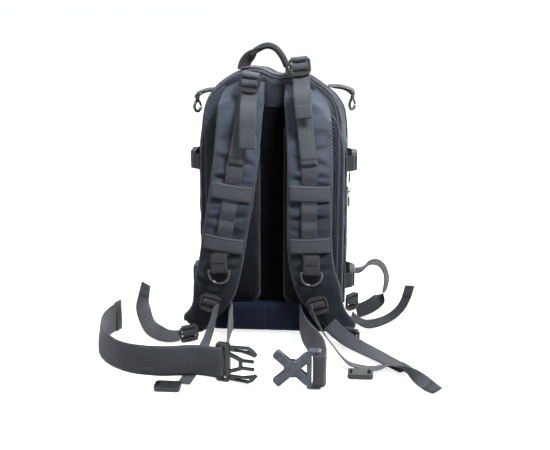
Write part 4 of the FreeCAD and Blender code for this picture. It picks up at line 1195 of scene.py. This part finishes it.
def make_lifters():
    """The load lifters: from a sewn fold on the strap, through the lock, and a hanging tail."""
    for side, (x, y, z), lean, tail_lean, tail, start in LIFTERS:
        def leaning(angle, places, origin=(0.0, 0.0)):
            """Points at (Y, Z) places, moved sideways by the lean."""
            slope = math.sin(math.radians(angle))
            return [(x + (origin[1] + up - z) * slope, origin[0] + deep, origin[1] + up)
                    for deep, up in places]

        low = tail[-1][1]
        route = leaning(lean, [(-136.8, 312), (-136.9, 301), (-137.6, 296.4), (-139.6, 294.6),
                               (-141.8, 296.8), (-142.2, 303), (-140.8, 316), (-134.6, 348),
                               (-124.0, 392)])
        route += leaning(lean, [(5.6, -15), (4.6, -6), (3.4, 0.5), (1.4, 4.2)], (y, z))
        route += leaning(tail_lean, [(-1.6, 4.0), (-3.4, 0.5), (-3.4, -2.5), (-1.2, -6),
                                     (2.8, -9), (3.0, -13), (0.5, -18), (-5.0, -27)], (y, z))
        route += leaning(tail_lean, [tail[0], (tail[1][0], low + 12), (tail[1][0], low)])
        line = spline_line(mm(route), 0.002)
        share = 1.0 - np.clip((run_length(line) / run_length(line)[-1] - 0.45) / 0.12, 0, 1)
        angle = np.radians(tail_lean + (lean - tail_lean) * share)
        across = np.stack([np.cos(angle), np.zeros(len(line)), -np.sin(angle)], axis=1)
        ribbon("lifter_web_" + side, line, across, 0.025, 0.0017, "webbing", "pack",
               "load_lifter_" + side, edge_wave=0.0007, cup=0.0005, seed=5)
        ribbon("lifter_hem_" + side, line[-11:], across[-11:], 0.0254, 0.0036, "webbing",
               "pack", seed=5)
        flat = np.array([math.cos(math.radians(lean)), 0, -math.sin(math.radians(lean))])
        rows = cross_rows(line[-2] + FRONT * 0.0020, across[-2], 0.0108, FRONT, UP, (0,),
                          0.0028, 0.0021)
        rows += cross_rows(mm(leaning(lean, [(-142.9, 305)]))[0], flat, 0.011, FRONT, UP,
                           (-0.001, 0, 0.001))
        added("lifter_thread_" + side, rows, "thread", "pack")
        loop = leaning(lean, start + [(8, 12.4), (0.5, 13.4), (-3.8, 12.4), (-4.0, 9.8),
                                      (-2.2, 7.0), (1.8, 7.4), (3.4, 10.6)], (y, z))
        ribbon("lifter_anchor_" + side, spline_line(mm(loop), 0.0015), flat, 0.025, 0.0017,
               "webbing", "pack", edge_wave=0.0003, seed=12)


# ---- ladder locks

def bar_shape(line, wide, deep, wide_way, closed=False):
    """A moulded bar with a rounded rectangular section and softened ends."""
    line = np.asarray(line, dtype=float)
    count = len(line)
    turn = np.linspace(0, 2 * math.pi, 16, endpoint=False)
    a, b = (np.sign(wave) * np.abs(wave) ** 0.5 * size / 2
            for wave, size in ((np.cos(turn), wide), (np.sin(turn), deep)))
    size = np.ones((count, 1))
    if not closed:
        size[[0, -1]] = 0.6
        size[[1, -2]] = 0.9
    run = tangents(line, closed)
    first = squared(wide_way, run)
    points = swept(line, first, a * size, np.cross(run, first), b * size)
    faces = grid_faces(count, 16, around=True, closed=closed)
    if not closed:
        faces += end_faces(16) + end_faces(16, (count - 1) * 16)
    return points, faces, None


def straight(start, end, count=9):
    """A run of points whose first and last steps are short, for a rounded end."""
    share = np.concatenate([[0, 0.02, 0.06], np.linspace(0.12, 0.88, count - 6),
                            [0.94, 0.98, 1.0]])
    return np.outer(1 - share, start) + np.outer(share, end)


def lock_shapes():
    """A ladder lock round the origin: a rounded frame, a ribbed middle bar and a lower lip."""
    outline = (0.0148, -0.0103, 0.0103, 0.0035, 0.0035)
    line = outline_loop(outline, 0.0, 72)
    shapes = [bar_shape(line, 0.0036, 0.0044, -outward(outline, line), closed=True),
              bar_shape(straight((-0.0135, 0, 0), (0.0135, 0, 0)), 0.0042, 0.0036, UP)]
    x = np.linspace(-0.0148, 0.0148, 15)
    crown = 1 - (x / 0.0148) ** 2
    lip = np.stack([x, -0.0019 - 0.0012 * crown, -0.0112 - 0.0020 * crown], axis=1)
    shapes.append(bar_shape(lip, 0.0036, 0.0030, UP))
    return shapes + [bar_shape(straight((x, -0.0019, -0.0017), (x, -0.0019, 0.0017)), 0.0011,
                               0.0009, RIGHT) for x in np.linspace(-0.011, 0.011, 8)]


def placed(shapes, place, turn):
    """Shapes turned by a matrix and moved to a place in millimetres."""
    turned = np.array(turn)
    return [(shape[0] @ turned.T + np.array(place) * MM, shape[1], shape[2]) for shape in shapes]


def make_ladder_locks():
    """All seven locks, and the webbing threaded through those without a strap of their own."""
    def about(axis, angle):
        return Matrix.Rotation(math.radians(angle), 3, axis)

    places = [(lifter[1], about("Y", lifter[2])) for lifter in LIFTERS]
    threaded = [((-96, -135.5, 66), about("Y", 13) @ about("X", 6)),
                ((77, -135.5, 66), about("Y", -16) @ about("X", 6)),
                ((-131, -139, 14), about("Z", 35)), ((131, -137, 16), about("Z", -35)),
                ((132, -66, 50), about("Z", 55))]
    shapes = [shape for place, turn in places + threaded
              for shape in placed(lock_shapes(), place, turn)]
    added("ladder_lock_set", shapes, "plastic", "pack", "ladder_locks")
    weave = spline_line(mm([(0, 3.6, 12.5), (0, 3.4, 8), (0, 0, 5.5), (0, -3.2, 3), (0, -3.6, 0),
                            (0, -3.2, -3), (0, 0, -5.5), (0, 3.4, -8), (0, 3.6, -12.5)]), 0.0012)
    web = ribbon_shape(weave, RIGHT, 0.0245, 0.0015, seed=2)
    added("lock_threaded_web", [placed([web], place, turn)[0] for place, turn in threaded],
          "black_webbing", "pack")


def make_hip_belt():
    """The belt webbing on its edge, laced through both buckle halves."""
    def laced(place, angle, *points):
        """Points in a buckle half's own plan, in the frame's millimetres."""
        c, s = math.cos(math.radians(angle)), math.sin(math.radians(angle))
        return [(place[0] + x * c - y * s, place[1] + x * s + y * c) for x, y in points]

    def level(points):
        return spline_line(mm([(x, y, 31.5) for x, y in points]), 0.003)

    line = level([(-64, -100), (-65, -140), (-59, -200), (-54, -244)]
                 + laced((-66, -291), -14, (11.4, 18), (11.2, 8), (11, 0), (10.8, -5.2),
                         (7, -6.0), (2.5, -6.2), (-8, -5.2))
                 + [(-98, -289), (-130, -297), (-166, -299), (-205, -289), (-240, -256),
                    (-262, -212), (-267, -166), (-258, -128), (-250, -108)])
    across = keyed(line, [(0, (0.0, 0.0, 1)), (0.3, (0.0, 0.0, 1)), (0.5, (0.0, -0.10, 1)),
                          (0.66, (0.03, -0.13, 1)), (0.8, (0.14, -0.05, 1)),
                          (0.92, (0.12, 0, 1)), (1, (0.05, 0.0, 1))])
    belt = ribbon("hip_belt_left_web", line, across, 0.050, 0.0021, "webbing", "pack",
                  "hip_belt_left", edge_wave=0.0010, cup=0.0005, seed=21)
    ribbon("hip_belt_left_hem", line[-6:], UP, 0.0505, 0.0048, "black_webbing", "pack", seed=21)
    line = level([(47, -100), (52, -140), (66, -190), (86, -236), (94, -276), (95.5, -300)]
                 + laced((22, -309), 0, (72, -7.6), (60, -8.2), (56, -7.8), (55.6, 0),
                         (56, 7.5), (62, 13)))
    ribbon("hip_belt_right_web", line, UP, 0.050, 0.0021, "webbing", "pack", "hip_belt_right",
           edge_wave=0.0008, cup=-0.0004, seed=23)


# ---- webbing on the shells

def make_haul_handle():
    """The grab handle: folded webbing with a rolled grip, sewn down at both ends."""
    route = [(x, -66, z) for x, z in (
        (-46.0, 433.0), (-45.5, 440), (-42, 447), (-35, 455), (-26, 463.5), (-9, 471.5),
        (5, 466.5), (13.5, 456), (19, 446), (22.5, 436), (24, 425.0))]
    line = spline_line(mm(route), 0.0025)
    across = keyed(line, [(0, (0.62, 0.65, -0.35)), (0.25, (0.5, 0.75, -0.4)), (0.40, (0, 1, 0)),
                          (0.75, (0, 1, 0)), (1, (-0.3, 0.95, -0.1))])
    grip = keyed(line, [(0, 0.0), (0.20, 0.0), (0.30, 1.0), (0.80, 1.0), (0.92, 0.0), (1, 0.0)])
    handle = merged("haul_handle_web", [
        ribbon_shape(line, across, 0.024 - 0.008 * grip, 0.0030, edge_wave=0.0005, seed=4),
        tube_shape(line[grip > 0.05], 0.0066, 14, flat=0.78, side_hint=BACK)], "black_webbing")
    outside = unit(np.cross(tangents(line), across))
    outside = np.where((outside[:, 2] < 0)[:, None], -outside, outside)
    thread = merged("haul_handle_thread", [
        stitch_shapes(line[part] + across[part] * side + outside[part] * 0.0017, outside[part])
        for side in (-0.0085, 0.0085) for part in (slice(4, 14), slice(-14, -4))], "thread")
    for piece in (handle, thread):
        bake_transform(piece)
    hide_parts("haul_handle")
    strip = np.array([(x, -0.066, 0.4380 - float(top_drop(x)))
                      for x in np.linspace(-0.052, 0.036, 26)])
    ribbon("handle_base_web", strip, BACK, 0.025, 0.0016, "webbing", "pack", "handle_strip",
           seed=6)


def bumped(base, rises, length=0.038):
    """How far a webbing row stands off between its tacks."""
    return rises * np.clip(np.sin(np.pi * (base % length) / length), 0, 1) ** 0.5


def webbing_row(along, off, way, out, level, thick, seed):
    """A row of webbing at a height, along one direction and standing off along another."""
    line = np.outer(along, way) + np.outer(off, out) + UP * level
    return ribbon_shape(line, UP, 0.025, thick, edge_wave=0.0003, seed=seed)


def make_side_webbing():
    """Webbing rows on the shell's sides."""
    rows, threads = [], []
    y = np.linspace(-0.072, 0.020, 60)
    off = bumped(y + 0.072 - 0.008, 0.0024)
    off = 0.1186 + np.where((y < -0.064) | (y > 0.012), 0.0, off)
    for side in (-1, 1):
        for number, level in enumerate((0.130, 0.172, 0.214)):
            rows.append(webbing_row(y, off, BACK, RIGHT * side, level, 0.0015, number))
            for tack in (-0.0655, -0.026, 0.0135):
                threads += cross_rows((side * 0.1196, tack, level), UP, 0.0108, RIGHT * side,
                                      BACK, (-0.0008, 0.0008))
    added("side_webbing_rows", rows, "webbing", "pack", "side_webbing")
    added("side_webbing_thread", threads, "thread", "pack")


def make_front_webbing():
    """Webbing rows on the lower pocket."""
    rows, threads = [], []
    face = 0.1276
    x = np.linspace(-0.082, 0.082, 90)
    off = face + 0.0010 + np.where(np.abs(x) > 0.078, 0.0, bumped(x + 0.078, 0.0021, 0.039))
    for number, level in enumerate((0.060, 0.098, 0.136, 0.174)):
        rows.append(webbing_row(x, off, RIGHT, BACK, level, 0.0014, number + 9))
        for tack in (-0.078, -0.039, 0.0, 0.039, 0.078):
            threads += cross_rows((tack, face + 0.0021, level), UP, 0.0108, BACK, RIGHT,
                                  (-0.0008, 0.0008))
    added("front_webbing_rows", rows, "webbing", "lid", "front_molle")
    added("front_webbing_thread", threads, "thread", "lid")


def make_pockets():
    """Two soft pockets on the lid, with piping and stitches, and a zip on the upper one."""
    for label, outline, face, seed, calm in (("lower", LOW_POCKET, 0.1276, 31.0, 0.25),
                                             ("upper", TOP_POCKET, 0.1196, 37.0, 0.7)):
        profile, first, last, _ = tray_profile(face, 0.0962, 0.0025, 0.006, face - 0.003, -1)
        points, faces, _ = shell_shape(outline, profile, 160)
        piece = new_piece("pocket_" + label, points, faces, "body_nylon")
        places = points_of(piece)
        rows = np.repeat(np.arange(len(profile)), 160)
        share = np.clip((last - rows) / 4.0, 0, 1) * np.where(rows < first - 3, calm, 1.0)
        moved = soft_wall(places, normals_of(piece), 0.8, seed)
        set_points(piece, places + (moved - places) * share[:, None])
        finer(piece)
        stand_for(piece, "lid", "front_pocket_" + label)
        piping("pocket_piping_" + label, outline, face - 0.0012, 0.0022, 0.0018, "lid",
               seed=seed)
        seam("pocket_thread_" + label, outline, face + 0.0004, 0.0075, "lid", normal=BACK)
    line = np.array([(x, 0.1201, 0.331) for x in np.linspace(-0.064, 0.064, 60)])
    added("pocket_zip_tapes", [ribbon_shape(line + UP * side, UP, 0.0056, 0.0010)
                               for side in (-0.0034, 0.0034)], "zip", "lid", "pocket_zip_tape")
    fine = even(line, 0.0005)
    teeth = 0.0009 + 0.0003 * np.sin(run_length(fine) * 2 * math.pi / 0.002)
    added("pocket_zip_coil", [tube_shape(fine + BACK * 0.0004, teeth, 8, flat=0.8)], "plastic",
          "lid")


# ---- interior

def make_interior():
    """The padded divider, its elastic loops, and the lid's mesh pocket."""
    pillow("divider_pad", (0.108, 0.008, 0.306, 0.020, 0.012), -0.0342, -0.0398, "lining",
           "pack", "padded_divider", 0.0012, voxel=0.006, start_inset=0.001)
    wave = [(-96, -32.4)]
    for left in range(-92, 94, 31):
        wave += [(left, -32.4), (left + 4, -24), (left + 13, -17.5), (left + 22, -24),
                 (left + 26, -32.4)]
    wave.append((96, -32.4))
    added("elastic_web", [ribbon_shape(spline_line(mm([(x, y, level) for x, y in wave]), 0.003),
                                       UP, 0.038, 0.0012) for level in (80, 160, 240)],
          "black_webbing", "pack", "elastic_loops")

    def belly(x, z):
        away = 1 - (abs(x) / 0.0885) ** 6
        return 0.0912 - 0.0125 * away * (0.55 + 0.45 * (z - 0.045) / 0.17)

    xs = np.linspace(-0.0885, 0.0885, 40)
    front = thin_cloth("lid_mesh_fabric", xs, np.linspace(0.045, 0.215, 24), belly, 0.0006,
                       "mesh", "lid", "lid_mesh_pocket")
    added("lid_mesh_hem", [tube_shape(front[-len(xs):], 0.0022, 8, flat=0.6)], "binding", "lid")


def make_tabs():
    """Webbing tabs that carry the hooks, and the tabs at the foot of the shell."""
    hook_tab = ((0.086, 0.010), (0.100, 0.0110), (0.114, 0.0085), (0.1235, 0.0052),
                (0.1292, 0.0018), (0.1288, -0.003), (0.1228, -0.0012), (0.1185, 0.0036),
                (0.108, 0.0080), (0.094, 0.0092))
    added("hook_tab_web", [
        ribbon_shape(spline_line([(side * x, -0.030, height + z) for x, z in hook_tab], 0.0012),
                     (0, 1.0, 0.10), 0.020, 0.0016)
        for side, height in ((-1, 0.386), (1, 0.393))], "black_webbing", "pack", "hook_tabs")
    end_tab = ((104, -86, 18), (108, -95, 18), (114, -103, 17), (124, -107.5, 16))
    added("strap_end_web", [
        ribbon_shape(spline_line(mm([(side * x, y, z) for x, y, z in end_tab]), 0.002),
                     (0.1 * side, 0.1, 1.0), 0.025, 0.0017)
        for side in (-1, 1)], "webbing", "pack", "strap_end_tabs")


# ---- carried-over hardware

def finish_hardware():
    """Materials for the CAD nodes that stay."""
    looks = {"pale_plastic": ["hip_clip_socket"],
             "plastic": ["compression_clips", "hip_clip_fork", "hip_latch_lower",
                         "hip_latch_upper", "sternum_clip_left", "sternum_clip_right",
                         "pocket_pull", "main_pull_lower", "main_pull_upper", "frame_sheet",
                         "main_slider_lower", "main_slider_upper", "pocket_slider"],
             "metal": ["d_ring_left", "d_ring_right", "snap_hook_left", "snap_hook_right",
                       "hook_gate_left", "hook_gate_right"],
             "black_webbing": ["compression_straps"]}
    for look, names in looks.items():
        for name in names:
            for slot in bpy.data.objects[name].material_slots:
                slot.material = MATERIALS[look]


make_camera()
make_studio()
make_free_straps()
make_shells()
make_back_panel()
straps = {side: make_shoulder_strap(side) for side in ("left", "right")}
for side, strap in straps.items():
    make_strap_webbing(side, strap)
make_ring_loops()
make_lifters()
make_ladder_locks()
make_hip_belt()
make_haul_handle()
make_side_webbing()
make_front_webbing()
make_pockets()
make_interior()
make_tabs()
finish_hardware()
